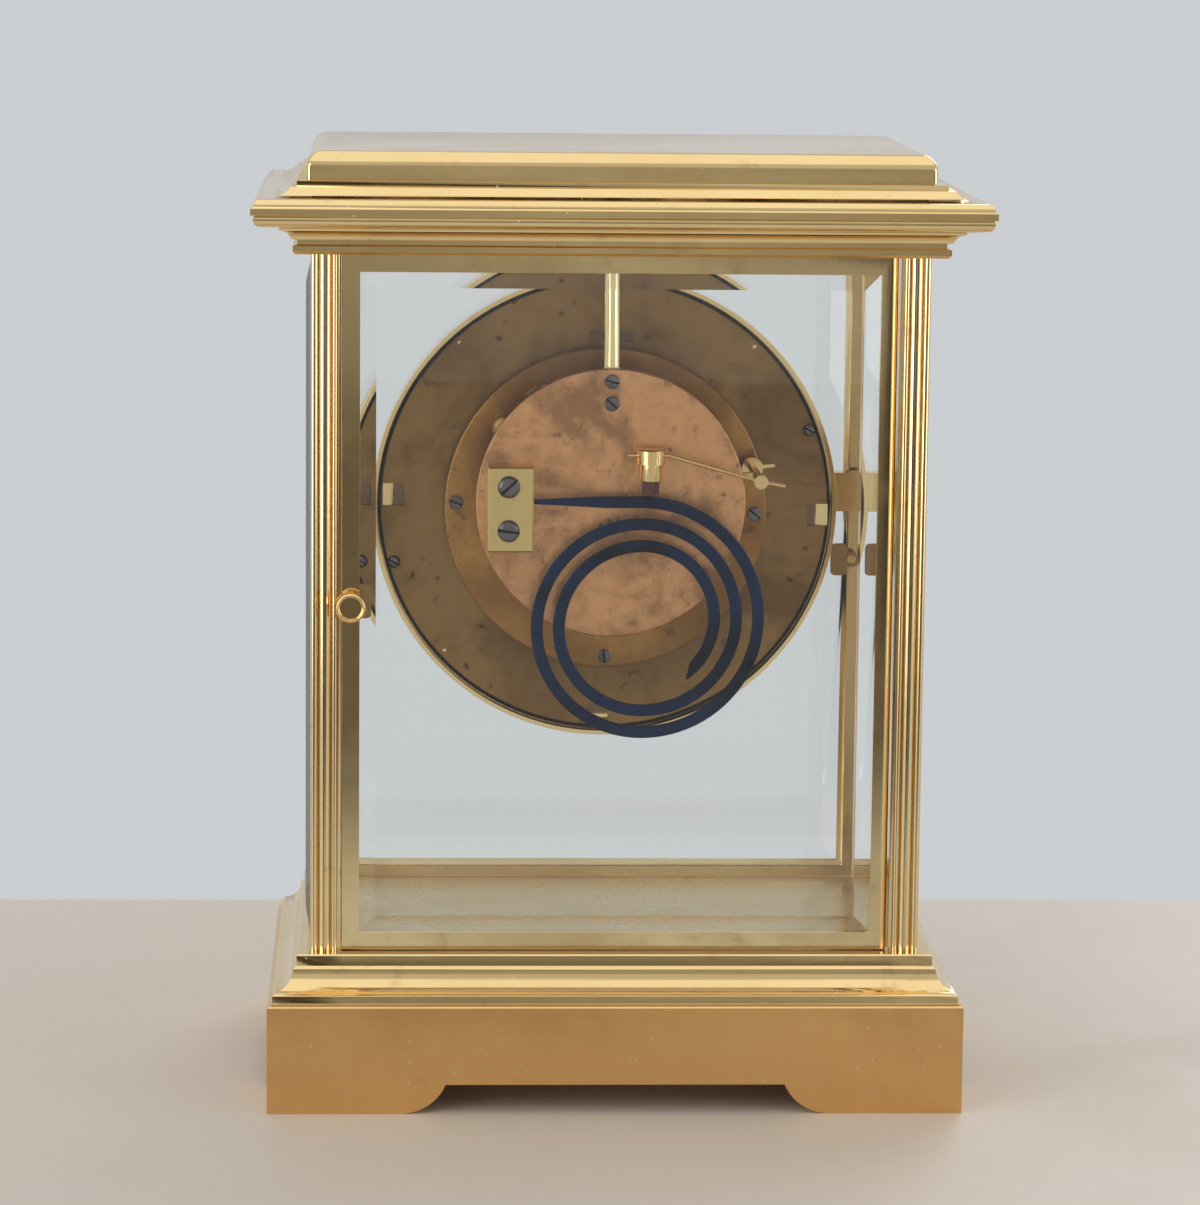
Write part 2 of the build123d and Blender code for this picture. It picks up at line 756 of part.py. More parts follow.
def click(at):
    arm = strip(at, (at[0] + click_length, at[1]), 1.6) + Pos(*at) * Circle(1.9)
    arm -= Pos(*at) * Circle(screw_shank + running_gap)
    back = front_plate_front - ratchet_gap
    return plate_y(arm, back - ratchet_thick, back)


def click_screws():
    screws = []
    for at in click_places():
        shank = rod_y(at, front_plate_front - 1.8, front_plate_back - 0.4, screw_shank)
        screws.append(shank + rod_y(at, front_plate_front - 2.6, front_plate_front - 1.8, 1.7))
    return together(screws)


def centre_arbor():
    shaft = rod_y(centre, minute_hand_front - 0.9, back_plate_front - seat_gap, arbor_radius)
    shaft += rod_y(centre, back_plate_front - seat_gap, back_plate_front + pivot_depth - 0.2, pivot_size)
    front = barrel_rim_front - 0.4
    mesh_angle = degrees(atan2(going_barrel_at[1] - centre[1], going_barrel_at[0] - centre[0]))
    return shaft + pinion_of(centre, barrel_module, mesh_angle, front, front + rim_thick + 1.2)


def centre_wheel():
    wheel = wheel_of(centre, centre_module, third_angle, centre_wheel_front)
    return wheel - rod_y(centre, -beyond, 9, arbor_radius)


def third_arbor():
    front = centre_wheel_front - 0.9
    return arbor_of(third_at) + pinion_of(third_at, centre_module, third_angle + 180, front, front + 3.0)


def third_wheel():
    wheel = wheel_of(third_at, third_module, fourth_angle, third_wheel_front)
    return wheel - rod_y(third_at, -beyond, 9, arbor_radius)


def escape_arbor():
    front = third_wheel_front - 0.9
    return arbor_of(fourth_at) + pinion_of(fourth_at, third_module, fourth_angle + 180, front, front + 3.0)


def escape_wheel():
    points = []
    for tooth in range(escape_count):
        angle = 360 / escape_count * tooth
        root = escape_radius - 1.4
        points += [(escape_radius, angle), (root, angle + 4), (root, angle + 20)]
    disc = Polygon(*[polar(*fourth_at, *point) for point in points], align=None)
    disc -= Pos(*fourth_at) * (Circle(4.2) - Circle(2.0))
    for arm in range(4):
        disc += strip(polar(*fourth_at, 1.5, 90 * arm), polar(*fourth_at, 4.6, 90 * arm), 0.7)
    disc -= Pos(*fourth_at) * Circle(arbor_radius)
    return plate_y(disc, escape_front, escape_front + 0.6)


def pallet_lever():
    clear = escape_radius + 0.4
    body = strip(lever_at, polar(*lever_at, 5.6, balance_angle), 0.9)
    for side in (1, -1):
        claw = polar(*fourth_at, clear + 0.5, escapement_angle + side * 37)
        body += strip(lever_at, claw, 0.9) + Pos(*claw) * Circle(0.5)
    body += Pos(*lever_at) * Circle(1.6)
    return plate_y(body, escape_front - 0.2, escape_front + 0.8) + arbor_of(lever_at, 0.8)


def balance_wheel():
    rim = Pos(*balance_at) * (Circle(balance_radius) - Circle(balance_radius - 1.1))
    rim += Pos(*balance_at) * Rectangle(2 * balance_radius - 1, 1.4)
    rim += Pos(*balance_at) * Circle(1.8)
    wheel = plate_y(rim, balance_front, balance_front + 1.2)
    return wheel + arbor_of(balance_at, 0.8)


def spiral_wire(x, top, y, first, shrink, half_turns, last_angle, face):
    # Half circles that meet on one vertical line, each smaller than the one before
    radius = first
    z = top
    path = []
    down = True
    for turn in range(half_turns + 1):
        sweep_angle = last_angle if turn == half_turns else 180.0
        middle = z - radius if down else z + radius
        start = radians(90 if down else -90)
        ends = [(x + radius * cos(start + radians(share * sweep_angle)), y,
                 middle + radius * sin(start + radians(share * sweep_angle))) for share in (0, 0.5, 1)]
        path.append(ThreePointArc(*ends))
        z = ends[2][2]
        radius -= shrink
        down = not down
    return sweep(face, path=Wire(path)), path


def gong():
    start = Plane((gong_x, gong_depth, gong_top), x_dir=(0, 1, 0), z_dir=(-1, 0, 0))
    face = start * RectangleRounded(gong_thick, gong_wire, gong_corner)
    coil, path = spiral_wire(gong_x, gong_top, gong_depth, gong_first_radius, gong_shrink,
                             gong_half_turns, gong_end_angle, face)
    root = Plane((block_right, gong_depth, gong_top), x_dir=(0, 1, 0), z_dir=(-1, 0, 0))
    mid = Plane((gong_full_from, gong_depth, gong_top), x_dir=(0, 1, 0), z_dir=(-1, 0, 0))
    thin = root * RectangleRounded(gong_root, gong_root, gong_root_corner)
    full = mid * RectangleRounded(gong_thick, gong_wire, gong_corner)
    taper = loft([thin, full], ruled=True)
    run = extrude(full, amount=gong_full_from - gong_x, dir=(-1, 0, 0))
    stub = extrude(thin, amount=gong_socket, dir=(1, 0, 0))
    report_least_gap(path, gong_wire, "gong")
    return coil + run + taper + stub


def report_least_gap(path, wire, name):
    points = []
    travelled = 0.0
    for arc in path:
        points += [(arc.position_at(step / 40), travelled + arc.length * step / 40) for step in range(40)]
        travelled += arc.length
    least = 999.0
    for index, (first, start) in enumerate(points):
        for second, end in points[index + 1:]:
            if end - start > 6 * wire:
                least = min(least, (first - second).length)
    print(name, "least gap between turns", round(least - wire, 2), "wire length", round(travelled, 1))


def hairspring():
    x = balance_at[0]
    y = balance_front + hairspring_rise
    top = balance_at[1] + hairspring_radius
    start = Plane((x, y, top), x_dir=(0, 1, 0), z_dir=(-1, 0, 0))
    face = start * Rectangle(hairspring_wire * 2, hairspring_wire)
    coil, path = spiral_wire(x, top, y, hairspring_radius, hairspring_shrink, hairspring_turns, 180.0, face)
    report_least_gap(path, hairspring_wire, "hairspring")
    end = path[-1].position_at(1)
    collet = tube_y(balance_at, y - 0.5, y + 0.5, abs(end.Z - balance_at[1]) + 0.2, 0.8)
    return coil + collet


# Motion work and hands
def cannon_pinion():
    back = front_plate_front - 0.3
    pipe = rod_y(centre, minute_hand_front + hand_thick, back, cannon_radius)
    pipe += pinion_of(centre, motion_module, minute_wheel_angle, back - 1.6, back)
    return pipe - rod_y(centre, -beyond, 9, arbor_radius)


def minute_wheel():
    back = front_plate_front - 0.4
    outline = gear_outline(minute_wheel_at, minute_wheel_teeth, motion_module, 0.6, minute_wheel_angle + 180)
    wheel = plate_y(outline, back - 1.2, back)
    wheel += pinion_of(minute_wheel_at, motion_second_module, minute_wheel_angle + 180, back - 3.6,
                       back - 1.2)
    return wheel - rod_y(minute_wheel_at, -beyond, 9, screw_shank + running_gap)


def minute_wheel_stud():
    stud = rod_y(minute_wheel_at, front_plate_front - 4.4, front_plate_back - 0.4, screw_shank)
    return stud


def hour_wheel():
    back = front_plate_front - 2.3
    outline = gear_outline(centre, hour_wheel_teeth, motion_second_module, 0.6, minute_wheel_angle)
    wheel = plate_y(outline, back - 1.2, back)
    wheel += rod_y(centre, hour_hand_front, back, hour_pipe_radius)
    return wheel - rod_y(centre, -beyond, 9, cannon_radius + running_gap)


def hand(length, hub, bore, angle, front, width):
    tip = polar(*centre, length, angle)
    waist = polar(*centre, length * 0.62, angle)
    blade = strip(centre, waist, width * 0.5)
    blade += Pos(*waist) * Rot(0, 0, angle) * (Circle(width * 1.35) - Circle(width * 0.7))
    side = polar(*waist, width, angle + 90)
    other = polar(*waist, width, angle - 90)
    blade += Polygon(waist, other, tip, side, align=None) - Pos(*waist) * Circle(width * 0.7)
    blade += strip(centre, polar(*centre, -hub * 1.9, angle), width * 0.6)
    blade += Pos(*centre) * Circle(hub)
    blade -= Pos(*centre) * Circle(bore)
    return plate_y(blade, front, front + hand_thick)


def hour_hand():
    return hand(hour_hand_length, 4.6, hour_pipe_radius, hour_hand_angle, hour_hand_front, 2.6)


def minute_hand():
    return hand(minute_hand_length, 3.6, arbor_radius, minute_hand_angle, minute_hand_front, 2.0)


def hand_nut():
    nut = tube_y(centre, minute_hand_front - 0.9, minute_hand_front, 2.2, arbor_radius)
    return nut


# Strike train
def strike_arbor():
    front = strike_rim_front - 0.4
    angle = strike_angle + 180
    return arbor_of(strike_at) + pinion_of(strike_at, barrel_module, angle, front, front + rim_thick + 1.2)


def pin_wheel():
    wheel = wheel_of(strike_at, third_module, fly_angle, strike_wheel_front)
    for pin in range(8):
        wheel += rod_y(polar(*strike_at, 11.2, 22.5 + 45 * pin), strike_wheel_front - 1.2,
                       strike_wheel_front + 0.5, 0.4)
    return wheel - rod_y(strike_at, -beyond, 9, arbor_radius)


def fly():
    vane = plate_y(Pos(*fly_at) * Rectangle(2 * fly_radius, 0.6), fly_front, fly_front + fly_length)
    hub = rod_y(fly_at, fly_front, fly_front + fly_length, 1.8)
    front = strike_wheel_front - 0.9
    body = arbor_of(fly_at, 0.9) + vane + hub
    return body + pinion_of(fly_at, third_module, fly_angle + 180, front, front + 2.8)


# Stay, gong block and hammer
def stay_screw_places():
    top = back_plate_z + back_plate_radius
    return [(0.0, top - 3.6), (0.0, top - 9.9)]


def block_screw_places():
    x = (block_left + block_right) / 2 + 0.6
    return [(x, block_top - 5.6), (x, block_bottom + 6.1)]


def case_stay():
    top = back_plate_z + back_plate_radius
    y = back_plate_front - stay_radius
    rod = rod_z(0, y, top + 0.4, pillar_top, stay_radius)
    foot = block(-stay_radius, stay_radius, y - stay_radius, back_plate_front, top - stay_foot_height,
                 top + 0.4)
    for at in stay_screw_places():
        foot -= rod_y(at, -beyond, 9, screw_shank)
    flange = rod_z(0, y, pillar_top - 1.2, pillar_top, stay_radius + 2.0)
    return rod + foot + flange


def stay_screws():
    length = plate_thick + 2.6
    return together([slotted_screw(at, back_plate_back, screw_head, screw_head_thick, screw_shank,
                                   length, turn) for at, turn in zip(stay_screw_places(), (15, 40))])


def gong_block():
    piece = block(block_right, block_left, back_plate_back, back_plate_back + block_thick,
                  block_bottom, block_top)
    piece = chamfer(piece.faces().sort_by(Axis.Y)[-1].edges(), 0.4)
    for at in block_screw_places():
        piece -= rod_y(at, -beyond, beyond, screw_shank)
    plane = Plane((block_right - 1, gong_depth, gong_top), x_dir=(0, 1, 0), z_dir=(1, 0, 0))
    socket = plane * RectangleRounded(gong_root, gong_root, gong_root_corner)
    return piece - extrude(socket, amount=gong_socket + 1)


def gong_block_screws():
    length = block_thick + plate_thick
    return together([slotted_screw(at, back_plate_back + block_thick, block_screw_radius, 1.6,
                                   screw_shank, length, turn, True)
                     for at, turn in zip(block_screw_places(), (-42, 8))])


def hammer_head():
    neck = rod_z(hammer_x, gong_depth, neck_low, head_low, neck_radius)
    neck = chamfer(neck.edges().sort_by(Axis.Z)[0], 0.4)
    head = rod_z(hammer_x, gong_depth, head_low, head_high, head_radius)
    head = chamfer(head.edges().sort_by(Axis.Z)[-1], 0.5)
    hole = Pos(hammer_x, gong_depth, stem_height) * Rot(0, 90, 0) * Cylinder(stem_radius, 30)
    return neck + head - hole


def hammer_leather():
    return rod_z(hammer_x, gong_depth, hammer_tip, neck_low, leather_radius)


def hammer_stem():
    start = (hammer_x + 6.5, gong_depth, stem_height)
    through = (hammer_x - head_radius - 1, gong_depth, stem_height)
    end = (hammer_at[0], gong_depth, hammer_at[1])
    past = (hammer_at[0] - 7.0, gong_depth, hammer_at[1] - 1.3)
    path = Polyline(start, through, end, past)
    face = Plane(start, z_dir=(-1, 0, 0)) * Circle(stem_radius)
    return sweep(face, path=path, transition=Transition.ROUND)


def hammer_arbor():
    shaft = rod_y(hammer_at, front_plate_back + seat_gap, gong_depth + 1.6, 1.3)
    shaft += rod_y(hammer_at, front_plate_front + 0.2, front_plate_back + seat_gap, pivot_size)
    shaft += rod_y(hammer_at, gong_depth - 1.6, gong_depth + 1.6, 2.0)
    shaft += rod_y(hammer_at, -26.5, -24.0, hammer_boss_radius)
    end = (hammer_at[0] - 6.5, hammer_at[1] + 0.8)
    shaft += plate_y(strip(hammer_at, end, 1.0), -25.4, -24.6)
    tail = strip(hammer_at, (hammer_at[0] + 11.0, hammer_at[1]), 1.8)
    shaft += plate_y(tail, strike_wheel_front - 1.8, strike_wheel_front - 0.4)
    return shaft - hammer_stem()


NODES = {
    "base_plinth": base_plinth,
    "base_moulding": base_moulding,
    "cornice": cornice,
    "top_cap": top_cap,
    "front_left_pillar": lambda: pillar(-1, -1),
    "front_right_pillar": lambda: pillar(1, -1),
    "rear_left_pillar": lambda: pillar(-1, 1),
    "rear_right_pillar": lambda: pillar(1, 1),
    "left_side_glass": lambda: side_glass(-1),
    "right_side_glass": lambda: side_glass(1),
    "door_pivots": lambda: together([door_pivots(), half_turn(door_pivots())]),
    "rear_door_frame": door_frame,
    "front_door_frame": lambda: half_turn(door_frame()),
    "rear_door_glass": door_glass,
    "front_door_glass": lambda: half_turn(door_glass()),
    "rear_door_knob": door_knob,
    "front_door_knob": lambda: half_turn(door_knob()),
    "rear_latch_tongue": latch_tongue,
    "front_latch_tongue": lambda: half_turn(latch_tongue()),
    "bezel": bezel,
    "bezel_brackets": bezel_brackets,
    "dial_back_plate": dial_back_plate,
    "enamel_dial": enamel_dial,
    "dial_screws": dial_screws,
    "front_plate": front_plate,
    "back_plate": back_plate,
    "movement_posts": movement_posts,
    "dial_feet": dial_feet,
    "front_plate_screws": front_plate_screws,
    "case_stay": case_stay,
    "gong_block": gong_block,
    "back_plate_screws": lambda: together([stay_screws(), gong_block_screws()]),
    "gong": gong,
    "front_plate_studs": lambda: together([click_screws(), minute_wheel_stud()]),
    "going_barrel": lambda: barrel(going_barrel_at, barrel_angle + 180, barrel_rim_front),
    "strike_barrel": lambda: barrel(strike_barrel_at, strike_angle, strike_rim_front),
    "going_mainspring": lambda: mainspring(going_barrel_at, barrel_rim_front),
    "strike_mainspring": lambda: mainspring(strike_barrel_at, strike_rim_front),
    "going_winding_arbor": lambda: winding_arbor(going_barrel_at) + ratchet(going_barrel_at),
    "strike_winding_arbor": lambda: winding_arbor(strike_barrel_at) + ratchet(strike_barrel_at),
    "going_click": lambda: click(click_places()[0]),
    "strike_click": lambda: click(click_places()[1]),
    "centre_arbor": lambda: centre_arbor() + centre_wheel(),
    "third_wheel": lambda: third_arbor() + third_wheel(),
    "escape_wheel": lambda: escape_arbor() + escape_wheel(),
    "pallet_lever": pallet_lever,
    "balance_wheel": balance_wheel,
    "hairspring": hairspring,
    "minute_wheel": minute_wheel,
    "hour_hand": hour_hand,
    "minute_hand": minute_hand,
    "hand_nut": hand_nut,
    "hour_wheel": hour_wheel,
    "cannon_pinion": cannon_pinion,
    "pin_wheel": lambda: strike_arbor() + pin_wheel(),
    "fly": fly,
    "hammer_head": hammer_head,
    "hammer_leather": hammer_leather,
    "hammer_stem": hammer_stem,
    "hammer_arbor": hammer_arbor,
}

if __name__ == "__main__":
    os.makedirs("parts", exist_ok=True)
    for name, make in NODES.items():
        export_step(make(), os.path.join("parts", name + ".step"))
        print("made", name)
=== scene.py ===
import json
import logging
import math
from collections.abc import Callable
from dataclasses import dataclass, field, replace
from enum import Enum

import bmesh
import bpy
from mathutils import Matrix, Vector

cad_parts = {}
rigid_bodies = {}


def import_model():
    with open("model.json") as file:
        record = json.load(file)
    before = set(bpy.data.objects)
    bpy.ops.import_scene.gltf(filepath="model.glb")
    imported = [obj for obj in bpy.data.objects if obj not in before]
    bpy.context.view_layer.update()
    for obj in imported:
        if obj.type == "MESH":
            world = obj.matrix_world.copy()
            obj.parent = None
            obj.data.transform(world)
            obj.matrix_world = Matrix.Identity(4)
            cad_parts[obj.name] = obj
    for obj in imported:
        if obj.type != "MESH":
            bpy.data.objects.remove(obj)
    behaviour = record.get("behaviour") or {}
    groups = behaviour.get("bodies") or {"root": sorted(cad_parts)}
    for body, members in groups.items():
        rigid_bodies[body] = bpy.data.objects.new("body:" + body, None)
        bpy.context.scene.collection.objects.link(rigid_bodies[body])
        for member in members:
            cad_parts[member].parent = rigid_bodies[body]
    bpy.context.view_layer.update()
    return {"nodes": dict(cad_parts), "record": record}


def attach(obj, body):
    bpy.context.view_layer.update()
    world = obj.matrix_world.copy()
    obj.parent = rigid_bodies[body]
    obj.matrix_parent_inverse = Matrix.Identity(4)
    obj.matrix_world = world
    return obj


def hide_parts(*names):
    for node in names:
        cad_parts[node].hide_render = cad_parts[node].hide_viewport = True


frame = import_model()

MM = 0.001
DIAL_HEIGHT = 156.8                 # the dial's middle above the table, in millimetres
METAL_RELIEF = 0.2 * MM             # the height of a metal's polishing marks
COAT_RELIEF = 0.3 * MM
DUST_COLOUR = (0.80, 0.76, 0.68)
DUST_ROUGHNESS = 0.7
PAINTED_RIM_SHADOW = 0.25                    # how much of the deepest colour is left in the painted shadow at the dial plate's rim
RIM_BLUR = 0.2                      # half the painted rim shadow's soft edge, in millimetres
log = logging.getLogger("four_glass_clock")

Colour = tuple[float, float, float]
Point = tuple[float, float, float]


class Edge(Enum):
    """How the sharp edges of a dressed piece are eased, as a radius in millimetres."""

    CRISP = 0.0
    FINE = 0.06
    SOFT = 0.15


class Grain(Enum):
    """How a metal was last finished, as the stretch of its fine marks along X, Y and Z."""

    BUFFED = (1.0, 1.0, 1.0)
    DRAWN_UP = (1.0, 1.0, 0.04)
    DRAWN_ACROSS = (0.04, 1.0, 1.0)


class Tree:
    """A thin helper that adds and joins nodes in one node tree."""

    MIX_FIRST, MIX_SECOND, MIX_RESULT = 6, 7, 2     # the colour sockets of a Mix node

    def __init__(self, tree: bpy.types.NodeTree) -> None:
        """Keeps the tree.

        Args:
            tree: the node tree to fill.
        """
        self.tree = tree

    def add(self, kind: str, settings: dict | None = None, **values: object) -> bpy.types.Node:
        """Adds one node.

        Args:
            kind: the node's type name.
            settings: properties of the node itself.
            values: socket values or sockets to link, with spaces in names written as underscores.

        Returns:
            The new node.
        """
        node = self.tree.nodes.new(kind)
        for key, value in (settings or {}).items():
            setattr(node, key, value)
        for key, value in values.items():
            self.feed(node.inputs[key.replace("_", " ")], value)
        return node

    def feed(self, socket: bpy.types.NodeSocket, value: object) -> None:
        """Links or sets one input socket.

        Args:
            socket: the input.
            value: an output socket, or a constant.
        """
        if isinstance(value, bpy.types.NodeSocket):
            self.tree.links.new(value, socket)
        elif isinstance(value, tuple) and len(value) == 3 and socket.type == "RGBA":
            socket.default_value = (*value, 1.0)
        else:
            socket.default_value = value

    def math(self, operation: str, *values: object) -> bpy.types.NodeSocket:
        """Adds a maths node and returns its output.

        Args:
            operation: the operation's name.
            values: its inputs in order, as sockets or numbers.

        Returns:
            The result socket.
        """
        node = self.add("ShaderNodeMath", {"operation": operation})
        for socket, value in zip(node.inputs, values):
            self.feed(socket, value)
        return node.outputs[0]

    def vector(self, operation: str, *values: object, output: str = "Vector") -> bpy.types.NodeSocket:
        """Adds a vector maths node and returns one output.

        Args:
            operation: the operation's name.
            values: its inputs in order, as sockets or points.
            output: the wanted output's name.

        Returns:
            The result socket.
        """
        node = self.add("ShaderNodeVectorMath", {"operation": operation})
        for socket, value in zip(node.inputs, values):
            self.feed(socket, value)
        return node.outputs[output]

    def place(self) -> bpy.types.NodeSocket:
        """Gives the shaded point's place on its object."""
        return self.add("ShaderNodeTexCoord").outputs["Object"]

    def surface(self, shader: bpy.types.Node) -> None:
        """Ends a material in its output node.

        Args:
            shader: the last shader node.
        """
        self.add("ShaderNodeOutputMaterial", Surface=shader.outputs["BSDF"])

    def mix(self, factor: object, first: object, second: object) -> bpy.types.NodeSocket:
        """Mixes two colours.

        Args:
            factor: the share of the second.
            first: the first colour.
            second: the second colour.

        Returns:
            The mixed colour socket.
        """
        node = self.add("ShaderNodeMix", {"data_type": "RGBA"}, Factor=factor)
        self.feed(node.inputs[self.MIX_FIRST], first)
        self.feed(node.inputs[self.MIX_SECOND], second)
        return node.outputs[self.MIX_RESULT]

    def ramp(self, value: object, low: float, high: float, to_low: float = 0.0,
             to_high: float = 1.0) -> bpy.types.NodeSocket:
        """Spreads a value from one range to another, smoothly and clamped.

        Args:
            value: the input.
            low: the input that gives to_low.
            high: the input that gives to_high.
            to_low: the lowest output.
            to_high: the highest output.

        Returns:
            The result socket.
        """
        node = self.add("ShaderNodeMapRange", {"interpolation_type": "SMOOTHSTEP"})
        for index, item in enumerate((value, low, high, to_low, to_high)):
            self.feed(node.inputs[index], item)
        return node.outputs[0]


def blank_material(name: str) -> tuple[bpy.types.Material, Tree]:
    """Makes a material with an empty node tree.

    Args:
        name: the material's name.

    Returns:
        The material and the helper for its tree.
    """
    material = bpy.data.materials.new(name)
    material.use_nodes = True
    material.node_tree.nodes.clear()
    return material, Tree(material.node_tree)


def add_object(name: str, data: bpy.types.ID) -> bpy.types.Object:
    """Puts a new object in the scene, at the origin.

    Args:
        name: the object's name.
        data: its mesh, curve, lamp or camera.

    Returns:
        The new object.
    """
    thing = bpy.data.objects.new(name, data)
    bpy.context.scene.collection.objects.link(thing)
    return thing


def mesh_from(name: str, work: bmesh.types.BMesh) -> bpy.types.Mesh:
    """Turns a bmesh into a mesh, and frees it.

    Args:
        name: the mesh's name.
        work: the filled bmesh.

    Returns:
        The new mesh.
    """
    mesh = bpy.data.meshes.new(name)
    work.to_mesh(mesh)
    work.free()
    return mesh


class SurfaceGroup:
    """Shared shader groups for marks that several finishes use, each built once."""

    FINE_RATIO = 7.0            # the fine mottle's scale over the broad patches' scale
    FINE_SHARE = 0.35           # how much the fine mottle adds to the patches
    PATCH_RANGE = (0.42, 0.66)  # the noise values where a patch starts and is full
    FINE_RANGE = (0.35, 0.75)
    SPOT_RANGE = (0.62, 0.72)
    WAVE_SCALE = 38.0           # shallow waves of hand polishing
    SPECK_RANGE = (0.22, 0.08)  # the distances where a dust speck starts and is full
    made: dict[str, bpy.types.NodeTree] = {}

    @classmethod
    def start(cls, name: str, inputs: dict[str, tuple[str, object]],
              outputs: dict[str, str]) -> tuple[Tree, dict[str, bpy.types.NodeSocket], bpy.types.Node]:
        """Makes an empty group with its named sockets.

        Args:
            name: the group's name.
            inputs: socket name to its short type and default.
            outputs: socket name to its short type.

        Returns:
            The tree helper, the input sockets by name, and the output node.
        """
        tree = bpy.data.node_groups.new(name, "ShaderNodeTree")
        for key, (kind, value) in inputs.items():
            socket = tree.interface.new_socket(key, in_out="INPUT", socket_type="NodeSocket" + kind)
            socket.default_value = value
        for key, kind in outputs.items():
            tree.interface.new_socket(key, in_out="OUTPUT", socket_type="NodeSocket" + kind)
        helper = Tree(tree)
        start = helper.add("NodeGroupInput")
        end = helper.add("NodeGroupOutput")
        cls.made[name] = tree
        return helper, {socket.name: socket for socket in start.outputs if socket.name}, end

    @classmethod
    def wear(cls) -> bpy.types.NodeTree:
        """Patches of tarnish with a finer mottle, for colour and roughness.

        Returns:
            The group's tree.
        """
        if "patina" in cls.made:
            return cls.made["patina"]
        tree, given, end = cls.start(
            "patina",
            {"Clean": ("Color", (0.8, 0.6, 0.3, 1)), "Aged": ("Color", (0.4, 0.3, 0.2, 1)),
             "Deep": ("Color", (0.2, 0.1, 0.1, 1)), "Scale": ("Float", 20.0), "Amount": ("Float", 0.3),
             "Smooth": ("Float", 0.1), "Rough": ("Float", 0.3)},
            {"Color": "Color", "Roughness": "Float"})
        place = tree.place()
        broad = tree.add("ShaderNodeTexNoise", Vector=place, Scale=given["Scale"], Detail=6.0,
                         Roughness=0.6, Distortion=0.6)
        fine_scale = tree.math("MULTIPLY", given["Scale"], cls.FINE_RATIO)
        fine = tree.add("ShaderNodeTexNoise", Vector=place, Scale=fine_scale, Detail=4.0, Roughness=0.65)
        patches = tree.ramp(broad.outputs["Fac"], *cls.PATCH_RANGE)
        mottle = tree.ramp(fine.outputs["Fac"], *cls.FINE_RANGE)
        blend = tree.math("MULTIPLY_ADD", mottle, cls.FINE_SHARE, patches)
        share = tree.math("MULTIPLY", blend, given["Amount"])
        share.node.use_clamp = True
        aged = tree.mix(share, given["Clean"], given["Aged"])
        spots = tree.math("MULTIPLY", tree.ramp(fine.outputs["Fac"], *cls.SPOT_RANGE), given["Amount"])
        tree.feed(end.inputs["Color"], tree.mix(spots, aged, given["Deep"]))
        spread = tree.math("SUBTRACT", given["Rough"], given["Smooth"])
        tree.feed(end.inputs["Roughness"], tree.math("MULTIPLY_ADD", blend, spread, given["Smooth"]))
        return tree.tree

    @classmethod
    def marks(cls) -> bpy.types.NodeTree:
        """Fine polishing lines and shallow dents, as a height.

        Returns:
            The group's tree.
        """
        if "polishing marks" in cls.made:
            return cls.made["polishing marks"]
        tree, given, end = cls.start(
            "polishing marks",
            {"Stretch": ("Vector", (1, 1, 1)), "Scale": ("Float", 900.0), "Waves": ("Float", 0.3)},
            {"Height": "Float"})
        place = tree.place()
        stretched = tree.vector("MULTIPLY", place, given["Stretch"])
        lines = tree.add("ShaderNodeTexNoise", Vector=stretched, Scale=given["Scale"], Detail=3.0,
                         Roughness=0.7)
        waves = tree.add("ShaderNodeTexNoise", Vector=place, Scale=cls.WAVE_SCALE, Detail=1.0)
        total = tree.math("MULTIPLY_ADD", waves.outputs["Fac"], given["Waves"], lines.outputs["Fac"])
        tree.feed(end.inputs["Height"], total)
        return tree.tree

    @classmethod
    def dust(cls) -> bpy.types.NodeTree:
        """Sparse pale specks, as a mask.

        Returns:
            The group's tree.
        """
        if "dust specks" in cls.made:
            return cls.made["dust specks"]
        tree, given, end = cls.start("dust specks", {"Scale": ("Float", 700.0), "Share": ("Float", 0.1)},
                                     {"Mask": "Float"})
        cells = tree.add("ShaderNodeTexVoronoi", Vector=tree.place(), Scale=given["Scale"])
        chance = tree.add("ShaderNodeSeparateColor", Color=cells.outputs["Color"]).outputs[0]
        chosen = tree.math("LESS_THAN", chance, given["Share"])
        speck = tree.ramp(cells.outputs["Distance"], *cls.SPECK_RANGE)
        tree.feed(end.inputs["Mask"], tree.math("MULTIPLY", chosen, speck))
        return tree.tree


